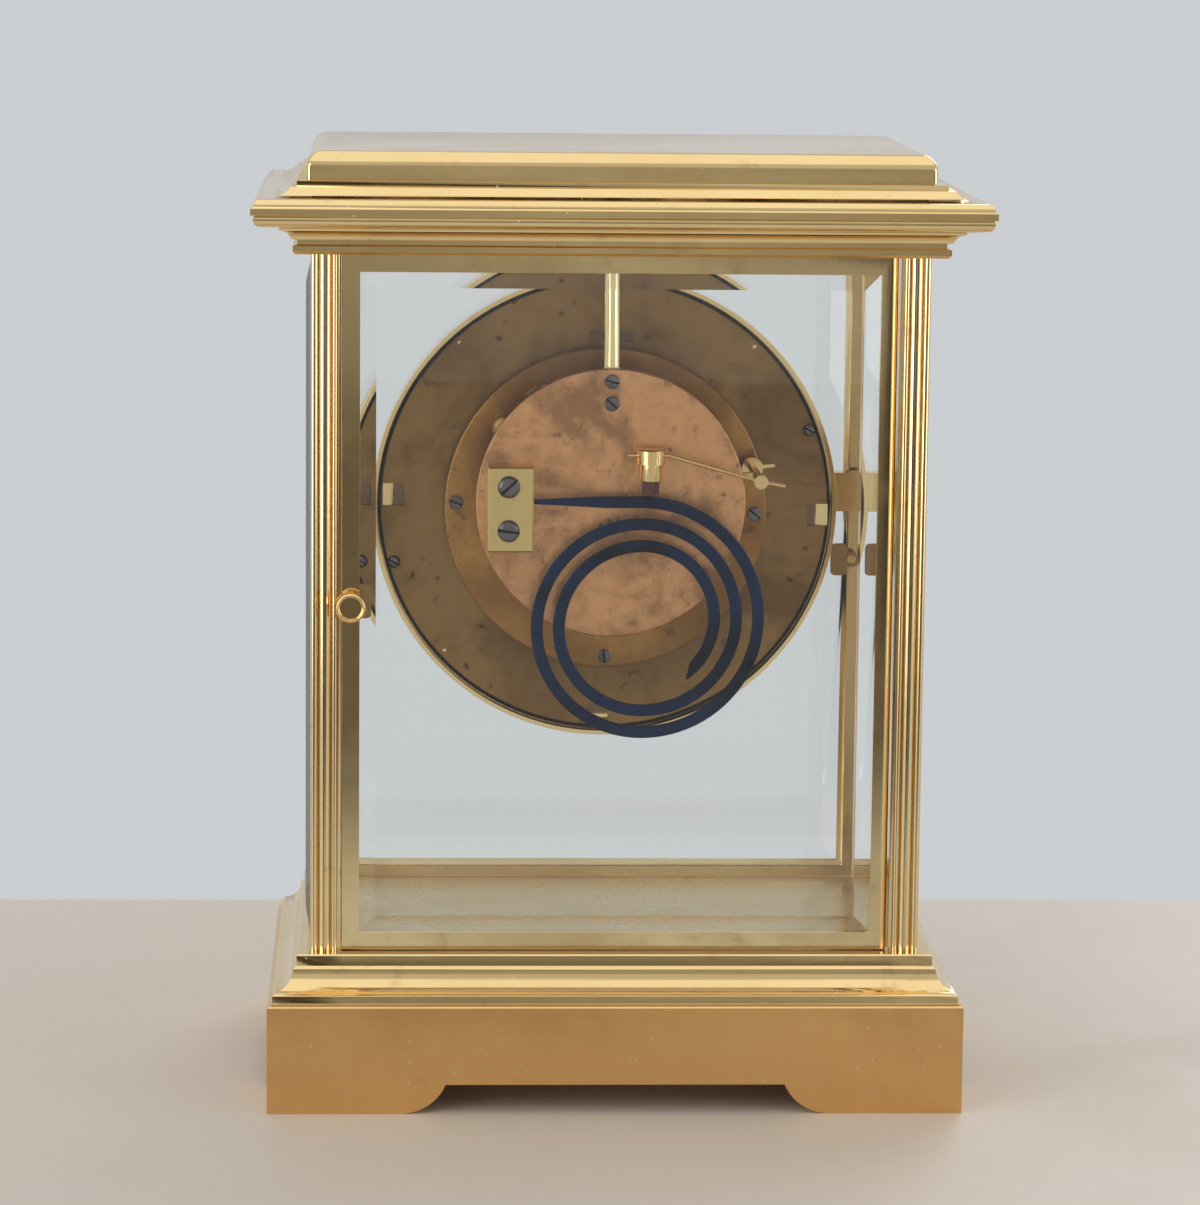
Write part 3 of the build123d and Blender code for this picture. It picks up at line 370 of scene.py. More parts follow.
@dataclass(frozen=True)
class MetalFinish:
    """A metal with tarnish patches, polishing marks, a little dust and, where set, a painted shadow at the
    dial rim.
    """

    name: str
    clean: Colour
    aged: Colour
    deep: Colour
    smooth: float = 0.10
    rough: float = 0.22
    patch_scale: float = 22.0
    amount: float = 0.25
    grain: Grain = Grain.BUFFED
    mark_depth: float = 0.04
    dust_share: float = 0.0
    # where the painted rim shadow starts, in millimetres from the dial's axis; 0 for none
    painted_shadow_from: float = 0.0

    def make(self) -> bpy.types.Material:
        """Builds the material.

        Returns:
            The new material.
        """
        material, tree = blank_material(self.name)
        patina = tree.add("ShaderNodeGroup", {"node_tree": SurfaceGroup.wear()}, Clean=self.clean,
                          Aged=self.aged, Deep=self.deep, Scale=self.patch_scale, Amount=self.amount,
                          Smooth=self.smooth, Rough=self.rough)
        marks = tree.add("ShaderNodeGroup", {"node_tree": SurfaceGroup.marks()}, Stretch=self.grain.value)
        bump = tree.add("ShaderNodeBump", Strength=self.mark_depth, Distance=METAL_RELIEF,
                        Height=marks.outputs["Height"])
        colour = patina.outputs["Color"]
        roughness = patina.outputs["Roughness"]
        if self.dust_share:
            dust = tree.add("ShaderNodeGroup", {"node_tree": SurfaceGroup.dust()}, Share=self.dust_share)
            colour = tree.mix(dust.outputs["Mask"], colour, DUST_COLOUR)
            dull = tree.math("MULTIPLY", dust.outputs["Mask"], DUST_ROUGHNESS)
            roughness = tree.math("MAXIMUM", roughness, dull)
        # painted shadow of the dark gap between the dial plate's rim and the bezel
        if self.painted_shadow_from:
            shadow = tuple(PAINTED_RIM_SHADOW * value for value in self.deep)
            colour = tree.mix(self.painted_rim_shadow_mask(tree), colour, shadow)
        tree.surface(tree.add("ShaderNodeBsdfPrincipled", Base_Color=colour, Roughness=roughness,
                              Metallic=1.0, Normal=bump.outputs["Normal"]))
        return material

    def painted_rim_shadow_mask(self, tree: Tree) -> bpy.types.NodeSocket:
        """Masks the painted rim shadow: what lies further than the shadow's start, in millimetres, from the
        dial's axis.

        Args:
            tree: the material's tree.

        Returns:
            The mask socket.
        """
        offset = tree.vector("SUBTRACT", tree.place(), (0.0, 0.0, DIAL_HEIGHT * MM))
        flat = tree.vector("MULTIPLY", offset, (1.0, 0.0, 1.0))
        reach = tree.vector("LENGTH", flat, output="Value")
        return tree.ramp(reach, (self.painted_shadow_from - RIM_BLUR) * MM, (self.painted_shadow_from + RIM_BLUR) * MM)


@dataclass(frozen=True)
class GlassFinish:
    """Clear plate glass that lets shadow rays through."""

    name: str
    tint: Colour
    smudge: float = 0.035
    film_scale: float = 26.0
    light_through: float = 0.92

    def make(self) -> bpy.types.Material:
        """Builds the material.

        Returns:
            The new material.
        """
        material, tree = blank_material(self.name)
        film = tree.add("ShaderNodeTexNoise", Vector=tree.place(), Scale=self.film_scale, Detail=5.0,
                        Roughness=0.6)
        roughness = tree.ramp(film.outputs["Fac"], 0.5, 0.8, 0.0, self.smudge)
        path = tree.add("ShaderNodeLightPath")
        soft = tree.math("MAXIMUM", path.outputs["Is Shadow Ray"], path.outputs["Is Diffuse Ray"])
        alpha = tree.math("SUBTRACT", 1.0, tree.math("MULTIPLY", soft, self.light_through))
        shader = tree.add("ShaderNodeBsdfPrincipled", Base_Color=self.tint, Roughness=roughness,
                          Metallic=0.0, IOR=1.5, Alpha=alpha)
        shader.inputs["Transmission Weight"].default_value = 1.0
        tree.surface(shader)
        return material


@dataclass(frozen=True)
class CoatedFinish:
    """Enamel, leather or paint: a coloured body with a mottle, under an optional clear coat."""

    name: str
    body: Colour
    shade: Colour
    scale: float = 60.0
    roughness: float = 0.3
    coat: float = 0.0
    relief: float = 0.05
    worn_rougher: float = 0.12
    coat_roughness: float = 0.04

    def make(self) -> bpy.types.Material:
        """Builds the material.

        Returns:
            The new material.
        """
        material, tree = blank_material(self.name)
        patina = tree.add("ShaderNodeGroup", {"node_tree": SurfaceGroup.wear()}, Clean=self.body,
                          Aged=self.shade, Deep=self.shade, Scale=self.scale, Amount=0.5,
                          Smooth=self.roughness, Rough=self.roughness + self.worn_rougher)
        marks = tree.add("ShaderNodeGroup", {"node_tree": SurfaceGroup.marks()}, Scale=1400.0, Waves=0.1)
        bump = tree.add("ShaderNodeBump", Strength=self.relief, Distance=COAT_RELIEF,
                        Height=marks.outputs["Height"])
        shader = tree.add("ShaderNodeBsdfPrincipled", Base_Color=patina.outputs["Color"],
                          Roughness=patina.outputs["Roughness"], Normal=bump.outputs["Normal"])
        shader.inputs["Coat Weight"].default_value = self.coat
        shader.inputs["Coat Roughness"].default_value = self.coat_roughness
        tree.surface(shader)
        return material


Finish = MetalFinish | GlassFinish | CoatedFinish

CASE_BRASS = MetalFinish(
    "case brass", clean=(0.86, 0.63, 0.30), aged=(0.74, 0.49, 0.21), deep=(0.45, 0.27, 0.11),
    smooth=0.09, rough=0.17, patch_scale=14.0, amount=0.25, dust_share=0.02)
REED_BRASS = MetalFinish(
    "reeded brass", clean=(0.88, 0.67, 0.35), aged=(0.74, 0.50, 0.23), deep=(0.42, 0.26, 0.12),
    smooth=0.10, rough=0.18, patch_scale=20.0, amount=0.25, grain=Grain.DRAWN_UP)
PLINTH_BRASS = MetalFinish(
    "plinth brass", clean=(0.82, 0.51, 0.21), aged=(0.72, 0.41, 0.15), deep=(0.42, 0.24, 0.10),
    smooth=0.12, rough=0.21, patch_scale=11.0, amount=0.3, grain=Grain.DRAWN_ACROSS, dust_share=0.035)
FLOOR_BRASS = MetalFinish(
    "satin case floor", clean=(0.56, 0.42, 0.20), aged=(0.42, 0.30, 0.13), deep=(0.25, 0.17, 0.08),
    smooth=0.26, rough=0.38, patch_scale=24.0, amount=0.1, grain=Grain.DRAWN_ACROSS, mark_depth=0.02)
STAY_BRASS = MetalFinish(
    "stay brass", clean=(0.92, 0.76, 0.42), aged=(0.78, 0.58, 0.28), deep=(0.50, 0.34, 0.16),
    smooth=0.10, rough=0.18, patch_scale=30.0, amount=0.15, grain=Grain.DRAWN_UP, mark_depth=0.05)
TRAIN_BRASS = MetalFinish(
    "wheel brass", clean=(0.84, 0.58, 0.25), aged=(0.66, 0.40, 0.16), deep=(0.40, 0.24, 0.10),
    smooth=0.14, rough=0.26, patch_scale=60.0, amount=0.3)
DIAL_BACK = MetalFinish(
    "aged dial back", clean=(0.31, 0.175, 0.058), aged=(0.20, 0.11, 0.038), deep=(0.06, 0.038, 0.016),
    smooth=0.30, rough=0.48, patch_scale=30.0, amount=0.95, grain=Grain.DRAWN_UP, mark_depth=0.22)
# the dial plate carries a painted shadow at its rim, for the gap under the bezel
DIAL_PLATE = replace(DIAL_BACK, name="aged dial plate", painted_shadow_from=65.6)
PLATE_BRASS = MetalFinish(
    "warm plate brass", clean=(0.46, 0.225, 0.058), aged=(0.30, 0.14, 0.04), deep=(0.16, 0.08, 0.03),
    smooth=0.24, rough=0.40, patch_scale=26.0, amount=0.8, mark_depth=0.12)
COPPER_PLATE = MetalFinish(
    "copper toned plate", clean=(0.74, 0.375, 0.165), aged=(0.38, 0.19, 0.085), deep=(0.26, 0.14, 0.07),
    smooth=0.34, rough=0.50, patch_scale=46.0, amount=1.0, mark_depth=0.45)
BLOCK_BRASS = MetalFinish(
    "pale block brass", clean=(0.72, 0.53, 0.21), aged=(0.58, 0.42, 0.16), deep=(0.40, 0.30, 0.14),
    smooth=0.28, rough=0.40, patch_scale=40.0, amount=0.4, grain=Grain.DRAWN_ACROSS, mark_depth=0.25)
DARK_STEEL = MetalFinish(
    "screw steel", clean=(0.17, 0.155, 0.15), aged=(0.09, 0.075, 0.07), deep=(0.04, 0.03, 0.025),
    smooth=0.12, rough=0.26, patch_scale=300.0, amount=0.5)
# painted shade on the floors of screw slots, where the recess would be dark
SLOT_PAINTED_SHADE = MetalFinish(
    "oiled screw slot", clean=(0.015, 0.013, 0.012), aged=(0.01, 0.009, 0.008),
    deep=(0.005, 0.005, 0.005), smooth=0.5, rough=0.7, patch_scale=300.0, amount=0.5)
BLUED = MetalFinish(
    "blued steel", clean=(0.007, 0.022, 0.070), aged=(0.004, 0.006, 0.014), deep=(0.03, 0.02, 0.03),
    smooth=0.16, rough=0.27, patch_scale=38.0, amount=1.0, mark_depth=0.08)
ENAMEL_BACK = MetalFinish(
    "dull copper underside", clean=(0.24, 0.15, 0.08), aged=(0.13, 0.08, 0.05), deep=(0.06, 0.04, 0.03),
    smooth=0.40, rough=0.55, patch_scale=30.0, amount=0.8)
DOOR_GLASS = GlassFinish("door glass", tint=(0.985, 0.995, 0.99))
SIDE_GLASS = GlassFinish("side glass", tint=(0.94, 0.985, 0.965))
GLASS_EDGE = CoatedFinish("green glass edge", body=(0.10, 0.25, 0.19), shade=(0.05, 0.15, 0.11),
                          scale=60.0, roughness=0.15, coat=0.5, relief=0.02)
ENAMEL = CoatedFinish("white enamel", body=(0.86, 0.84, 0.78), shade=(0.80, 0.77, 0.69),
                      scale=30.0, roughness=0.18, coat=0.6, relief=0.02)
INK = CoatedFinish("black vitreous ink", body=(0.012, 0.012, 0.014), shade=(0.03, 0.028, 0.03),
                   scale=300.0, roughness=0.25, coat=0.4, relief=0.02)
LEATHER = CoatedFinish("red hammer leather", body=(0.115, 0.022, 0.012), shade=(0.045, 0.010, 0.008),
                       scale=700.0, roughness=0.62, coat=0.0, relief=0.6)


class Wardrobe:
    """Makes each material once and puts it on pieces."""

    def __init__(self) -> None:
        """Starts with nothing made."""
        self.made: dict[str, bpy.types.Material] = {}

    def material(self, finish: Finish) -> bpy.types.Material:
        """Gives the material of a finish.

        Args:
            finish: the finish wanted.

        Returns:
            The material, made at its first use.
        """
        if finish.name not in self.made:
            self.made[finish.name] = finish.make()
        return self.made[finish.name]

    def dress(self, piece: bpy.types.Object, finish: Finish) -> None:
        """Gives a piece one finish.

        Args:
            piece: the mesh object.
            finish: its finish.
        """
        piece.data.materials.clear()
        piece.data.materials.append(self.material(finish))


@dataclass
class Bench:
    """Turns CAD nodes into dressed pieces, and places new ones on their bodies."""

    wardrobe: Wardrobe = field(default_factory=Wardrobe)
    body_of: dict[str, str] = field(default_factory=dict)
    slot_of: dict[str, str] = field(default_factory=dict)
    weld: float = 0.002                 # millimetres between corners that are one
    flat_angle: float = 0.4             # degrees between faces that are one
    eased_angle: float = 35.0           # degrees from which an edge is eased
    eased_steps: int = 2
    facing: float = 0.99                # the least share of a normal that points along an axis
    slot_depths: tuple[float, float] = (0.4, 1.0)

    def __post_init__(self) -> None:
        """Reads each node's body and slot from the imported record."""
        record = frame["record"]
        for body, nodes in record["behaviour"]["bodies"].items():
            for node in nodes:
                self.body_of[node] = body
        for entry in record["subparts"]:
            self.slot_of[entry["node"]] = entry["material_slot"]

    def place(self, piece: bpy.types.Object, node: str, finish: Finish, stands_for: bool = False) -> None:
        """Dresses a piece and makes it ride with a node's body.

        Args:
            piece: the mesh object, already in the shared frame.
            node: the CAD node that it belongs with.
            finish: its finish.
            stands_for: whether the piece replaces that node.
        """
        self.wardrobe.dress(piece, finish)
        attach(piece, self.body_of[node])
        if stands_for:
            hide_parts(node)
        log.info("piece %s on %s in %s", piece.name, self.body_of[node], finish.name)

    def refine(self, node: str, finish: Finish, edge: Edge = Edge.FINE, smooth_angle: float = 32.0,
               keep_flat: bool = False) -> bpy.types.Object:
        """Replaces a CAD node by a clean copy with eased edges and smooth curves.

        Args:
            node: the node's name.
            finish: its finish.
            edge: how far its sharp edges are eased.
            smooth_angle: faces that meet at less than this, in degrees, shade as one curve.
            keep_flat: whether every face stays flat, as on cut glass.

        Returns:
            The new object.
        """
        mesh = frame["nodes"][node].data.copy()
        mesh.name = node + "_finished"
        work = bmesh.new()
        work.from_mesh(mesh)
        bmesh.ops.remove_doubles(work, verts=work.verts, dist=self.weld * MM)
        bmesh.ops.dissolve_limit(work, angle_limit=math.radians(self.flat_angle), verts=work.verts,
                                 edges=work.edges)
        work.to_mesh(mesh)
        work.free()
        piece = add_object(mesh.name, mesh)
        if not keep_flat:
            mesh.shade_smooth()
            mesh.set_sharp_from_angle(angle=math.radians(smooth_angle))
        if edge.value:
            easing = piece.modifiers.new("eased edges", "BEVEL")
            easing.width = edge.value * MM
            easing.segments = self.eased_steps
            easing.limit_method = "ANGLE"
            easing.angle_limit = math.radians(self.eased_angle)
            easing.harden_normals = not keep_flat
        self.place(piece, node, finish, stands_for=True)
        return piece

    def refine_screws(self, node: str) -> None:
        """Refines slotted screws, with painted shade at the bottom of each slot.

        Args:
            node: the node that holds the screws.
        """
        piece = self.refine(node, DARK_STEEL)
        levels = {face.center.y / MM for face in piece.data.polygons if face.normal.y > self.facing}
        least, most = self.slot_depths
        # faces lying a slot's depth below a screw head's top get the painted slot shade
        self.accent(piece, SLOT_PAINTED_SHADE, lambda middle, normal: normal.y > self.facing and any(
            least < level - middle.y < most for level in levels))

    def accent(self, piece: bpy.types.Object, finish: Finish,
               chosen: Callable[[Vector, Vector], bool]) -> None:
        """Gives some faces of a piece a second finish.

        Args:
            piece: the dressed piece.
            finish: the second finish.
            chosen: tells from a face's middle in millimetres and its normal whether it is one of them.
        """
        piece.data.materials.append(self.wardrobe.material(finish))
        index = len(piece.data.materials) - 1
        for face in piece.data.polygons:
            if chosen(face.center / MM, face.normal):
                face.material_index = index

    def new_mesh(self, name: str, work: bmesh.types.BMesh, smooth_angle: float = 30.0) -> bpy.types.Object:
        """Makes an object of a bmesh.

        Args:
            name: the object's name.
            work: the filled bmesh, which is freed.
            smooth_angle: faces that meet at less than this, in degrees, shade as one curve.

        Returns:
            The new object.
        """
        mesh = mesh_from(name, work)
        mesh.shade_smooth()
        mesh.set_sharp_from_angle(angle=math.radians(smooth_angle))
        return add_object(name, mesh)


class Pattern:
    """Builds a Geometry Nodes tree, runs it on an object and bakes the result to a plain mesh."""

    def __init__(self, name: str, inputs: dict[str, tuple[str, object]]) -> None:
        """Makes the tree with its named inputs.

        Args:
            name: the tree's name.
            inputs: socket name to its short type and default.
        """
        self.group = bpy.data.node_groups.new(name, "GeometryNodeTree")
        interface = self.group.interface
        interface.new_socket("Geometry", in_out="INPUT", socket_type="NodeSocketGeometry")
        self.ids: dict[str, str] = {}
        for key, (kind, value) in inputs.items():
            socket = interface.new_socket(key, in_out="INPUT", socket_type="NodeSocket" + kind)
            if value is not None:
                socket.default_value = value
            self.ids[key] = socket.identifier
        interface.new_socket("Geometry", in_out="OUTPUT", socket_type="NodeSocketGeometry")
        self.tree = Tree(self.group)
        self.start = self.tree.add("NodeGroupInput")
        self.end = self.tree.add("NodeGroupOutput")

    def close(self, geometry: bpy.types.NodeSocket) -> None:
        """Ends the tree in Realize Instances and Set Material.

        Args:
            geometry: the finished geometry.
        """
        real = self.tree.add("GeometryNodeRealizeInstances", Geometry=geometry)
        dressed = self.tree.add("GeometryNodeSetMaterial", Geometry=real.outputs[0],
                                Material=self.start.outputs["Material"])
        self.tree.feed(self.end.inputs["Geometry"], dressed.outputs[0])

    def bake(self, carrier: bpy.types.Object, values: dict[str, object], name: str) -> bpy.types.Object:
        """Runs the tree on a carrier object and keeps the result as a new mesh object.

        Args:
            carrier: the object that holds the starting geometry; it is removed.
            values: input name to value.
            name: the new object's name.

        Returns:
            The new mesh object at the origin.
        """
        modifier = carrier.modifiers.new("pattern", "NODES")
        modifier.node_group = self.group
        for key, value in values.items():
            modifier[self.ids[key]] = value
        graph = bpy.context.evaluated_depsgraph_get()
        graph.update()
        mesh = bpy.data.meshes.new_from_object(carrier.evaluated_get(graph))
        mesh.name = name
        carrier.modifiers.remove(modifier)
        bpy.data.objects.remove(carrier)
        return add_object(name, mesh)


@dataclass
class Case:
    """The brass case with its fixed side panes."""

    bench: Bench
    pillars: tuple[str, ...] = ("front_left_pillar", "front_right_pillar", "rear_left_pillar",
                                "rear_right_pillar")
    mouldings: tuple[str, ...] = ("base_moulding", "cornice", "top_cap")
    floor_half: tuple[float, float] = (76.0, 47.0)
    floor_skin: float = 0.05

    def build(self) -> None:
        """Dresses the plinth, mouldings, pillars, pins and panes."""
        self.bench.refine("base_plinth", PLINTH_BRASS, Edge.SOFT)
        for node in self.mouldings:
            moulding = self.bench.refine(node, CASE_BRASS, Edge.SOFT)
            if node == "base_moulding":
                self.lay_floor(moulding)
        for node in self.pillars:
            self.bench.refine(node, REED_BRASS, Edge.FINE, 50.0)
        self.bench.refine("door_pivots", DARK_STEEL)
        for node in ("left_side_glass", "right_side_glass"):
            pane = self.bench.refine(node, SIDE_GLASS, Edge.CRISP, keep_flat=True)
            self.bench.accent(pane, GLASS_EDGE, lambda middle, normal: abs(normal.x) < 0.1)

    def lay_floor(self, moulding: bpy.types.Object) -> None:
        """Marks off the satin floor inside the doors on the moulding's flat top.

        Args:
            moulding: the base moulding.
        """
        work = bmesh.new()
        work.from_mesh(moulding.data)
        for normal, reach in (((1, 0, 0), self.floor_half[0]), ((0, 1, 0), self.floor_half[1])):
            for side in (1, -1):
                place = Vector(normal) * reach * side * MM
                bmesh.ops.bisect_plane(work, geom=work.verts[:] + work.edges[:] + work.faces[:],
                                       plane_co=place, plane_no=normal)
        work.to_mesh(moulding.data)
        work.free()
        top = max(vertex.co.z for vertex in moulding.data.vertices) / MM
        wide, deep = self.floor_half
        self.bench.accent(moulding, FLOOR_BRASS, lambda middle, normal: (
            normal.z > 0.9 and middle.z > top - self.floor_skin and abs(middle.x) < wide
            and abs(middle.y) < deep))


@dataclass
class Doors:
    """Both glazed doors with their knobs and latch tongues."""

    bench: Bench
    sides: tuple[str, ...] = ("rear", "front")

    def build(self) -> None:
        """Dresses each door and its latch."""
        for side in self.sides:
            self.bench.refine(side + "_door_frame", REED_BRASS, Edge.SOFT)
            self.bench.refine(side + "_door_glass", DOOR_GLASS, Edge.CRISP, keep_flat=True)
            self.bench.refine(side + "_door_knob", CASE_BRASS, Edge.SOFT)
            self.bench.refine(side + "_latch_tongue", DIAL_BACK, Edge.SOFT)


@dataclass
class DialGroup:
    """The bezel, dial, numerals, minute track and hands."""

    bench: Bench
    dial_height: float = DIAL_HEIGHT
    ink_front: float = -40.93
    ink_rise: float = 0.03
    numeral_radius: float = 46.5
    numeral_size: float = 10.5
    numeral_stretch: tuple[float, float] = (0.72, 1.25)
    track_inner: float = 54.6
    track_outer: float = 57.4
    ring_width: float = 0.35
    hour_stroke: float = 1.05
    ring_steps: int = 180
    numerals: tuple[str, ...] = ("XII", "I", "II", "III", "IIII", "V", "VI", "VII", "VIII", "IX", "X",
                                 "XI")

    def build(self) -> None:
        """Dresses the CAD nodes and draws the dial."""
        self.bench.refine("bezel", CASE_BRASS, Edge.SOFT)
        self.bench.refine("bezel_brackets", CASE_BRASS, Edge.SOFT)
        self.bench.refine("dial_back_plate", DIAL_PLATE)
        self.bench.refine("dial_feet", DIAL_BACK)
        self.bench.refine_screws("dial_screws")
        dial = self.bench.refine("enamel_dial", ENAMEL)
        self.bench.accent(dial, ENAMEL_BACK, lambda middle, normal: normal.y > 0.9)
        for node in ("hour_hand", "minute_hand"):
            self.bench.refine(node, BLUED)
        self.bench.refine("hand_nut", TRAIN_BRASS, Edge.SOFT)
        self.minute_track()
        self.hour_numerals()

    def minute_track(self) -> None:
        """Draws sixty strokes between two thin rings with Geometry Nodes."""
        pattern = Pattern("minute track", {
            "Inner": ("Float", 0.05), "Outer": ("Float", 0.06), "Stroke": ("Float", 0.0004),
            "Heavy": ("Float", 0.001), "Rise": ("Float", 0.0001), "Material": ("Material", None)})
        tree = pattern.tree
        given = pattern.start.outputs
        middle = tree.math("MULTIPLY", tree.math("ADD", given["Inner"], given["Outer"]), 0.5)
        length = tree.math("SUBTRACT", given["Outer"], given["Inner"])
        parts = []
        for count, width in ((60, given["Stroke"]), (12, given["Heavy"])):
            circle = tree.add("GeometryNodeMeshCircle", Vertices=count, Radius=middle)
            size = tree.add("ShaderNodeCombineXYZ", X=length, Y=width, Z=given["Rise"])
            stroke = tree.add("GeometryNodeMeshCube", Size=size.outputs[0])
            spot = tree.add("GeometryNodeInputPosition")
            turn = tree.add("FunctionNodeAlignRotationToVector", {"axis": "X"}, Vector=spot.outputs[0])
            copies = tree.add("GeometryNodeInstanceOnPoints", Points=circle.outputs["Mesh"],
                              Instance=stroke.outputs["Mesh"], Rotation=turn.outputs[0])
            parts.append(copies.outputs[0])
        for radius in (given["Inner"], given["Outer"]):
            ring = tree.add("GeometryNodeCurvePrimitiveCircle", Resolution=self.ring_steps, Radius=radius)
            band = tree.add("GeometryNodeCurvePrimitiveQuadrilateral", Width=given["Stroke"],
                            Height=given["Rise"])
            swept = tree.add("GeometryNodeCurveToMesh", Curve=ring.outputs["Curve"],
                             Profile_Curve=band.outputs[0])
            parts.append(swept.outputs[0])
        joined = tree.add("GeometryNodeJoinGeometry")
        for part in parts:
            tree.tree.links.new(part, joined.inputs[0])
        pattern.close(joined.outputs[0])
        carrier = add_object("track carrier", bpy.data.meshes.new("track carrier"))
        track = pattern.bake(carrier, {
            "Inner": self.track_inner * MM, "Outer": self.track_outer * MM,
            "Stroke": self.ring_width * MM, "Heavy": self.hour_stroke * MM, "Rise": self.ink_rise * MM,
            "Material": self.bench.wardrobe.material(INK)}, "minute_track")
        track.data.transform(self.to_dial())
        self.bench.place(track, "enamel_dial", INK)

    def to_dial(self) -> Matrix:
        """Gives the move from a flat drawing to the dial's face.

        Returns:
            The matrix.
        """
        middle = Matrix.Translation((0, self.ink_front * MM, self.dial_height * MM))
        return middle @ Matrix.Rotation(math.radians(90), 4, "X")

    def hour_numerals(self) -> None:
        """Sets the twelve hours round the dial, each with its foot towards the middle."""
        work = bmesh.new()
        shape = Matrix.Translation((0, self.numeral_radius * MM, 0)) @ Matrix.Diagonal(
            (*self.numeral_stretch, 1.0, 1.0))
        for hour, letters in enumerate(self.numerals):
            curve = bpy.data.curves.new("hour", "FONT")
            curve.body = letters
            curve.size = self.numeral_size * MM
            curve.align_x = "CENTER"
            curve.align_y = "CENTER"
            curve.extrude = self.ink_rise * MM / 2
            holder = add_object("hour", curve)
            graph = bpy.context.evaluated_depsgraph_get()
            mesh = bpy.data.meshes.new_from_object(holder.evaluated_get(graph))
            turn = Matrix.Rotation(-math.tau * hour / len(self.numerals), 4, "Z")
            mesh.transform(self.to_dial() @ turn @ shape)
            work.from_mesh(mesh)
            bpy.data.meshes.remove(mesh)
            bpy.data.objects.remove(holder)
        piece = self.bench.new_mesh("hour_numerals", work)
        self.bench.place(piece, "enamel_dial", INK)


@dataclass
class Movement:
    """The plates, posts, wheels, barrels and escapement."""

    bench: Bench
    wheels: tuple[str, ...] = ("centre_arbor", "cannon_pinion", "hour_wheel", "minute_wheel", "third_wheel",
                               "escape_wheel", "balance_wheel", "pin_wheel", "going_barrel", "strike_barrel")
    steels: tuple[str, ...] = ("pallet_lever", "fly", "going_winding_arbor", "strike_winding_arbor",
                               "going_click", "strike_click", "front_plate_studs")
    screws: tuple[str, ...] = ("front_plate_screws", "back_plate_screws")
    springs: tuple[str, ...] = ("hairspring", "going_mainspring", "strike_mainspring")

    def build(self) -> None:
        """Dresses the plates and everything between them."""
        self.bench.refine("front_plate", PLATE_BRASS)
        self.bench.refine("back_plate", COPPER_PLATE)
        self.bench.refine("movement_posts", TRAIN_BRASS)
        self.bench.refine("case_stay", STAY_BRASS, Edge.SOFT)
        for node in self.wheels:
            self.bench.refine(node, TRAIN_BRASS, Edge.CRISP)
        for node in self.steels:
            self.bench.refine(node, DARK_STEEL, Edge.FINE)
        for node in self.screws:
            self.bench.refine_screws(node)
        for node in self.springs:
            self.bench.refine(node, BLUED, Edge.CRISP)


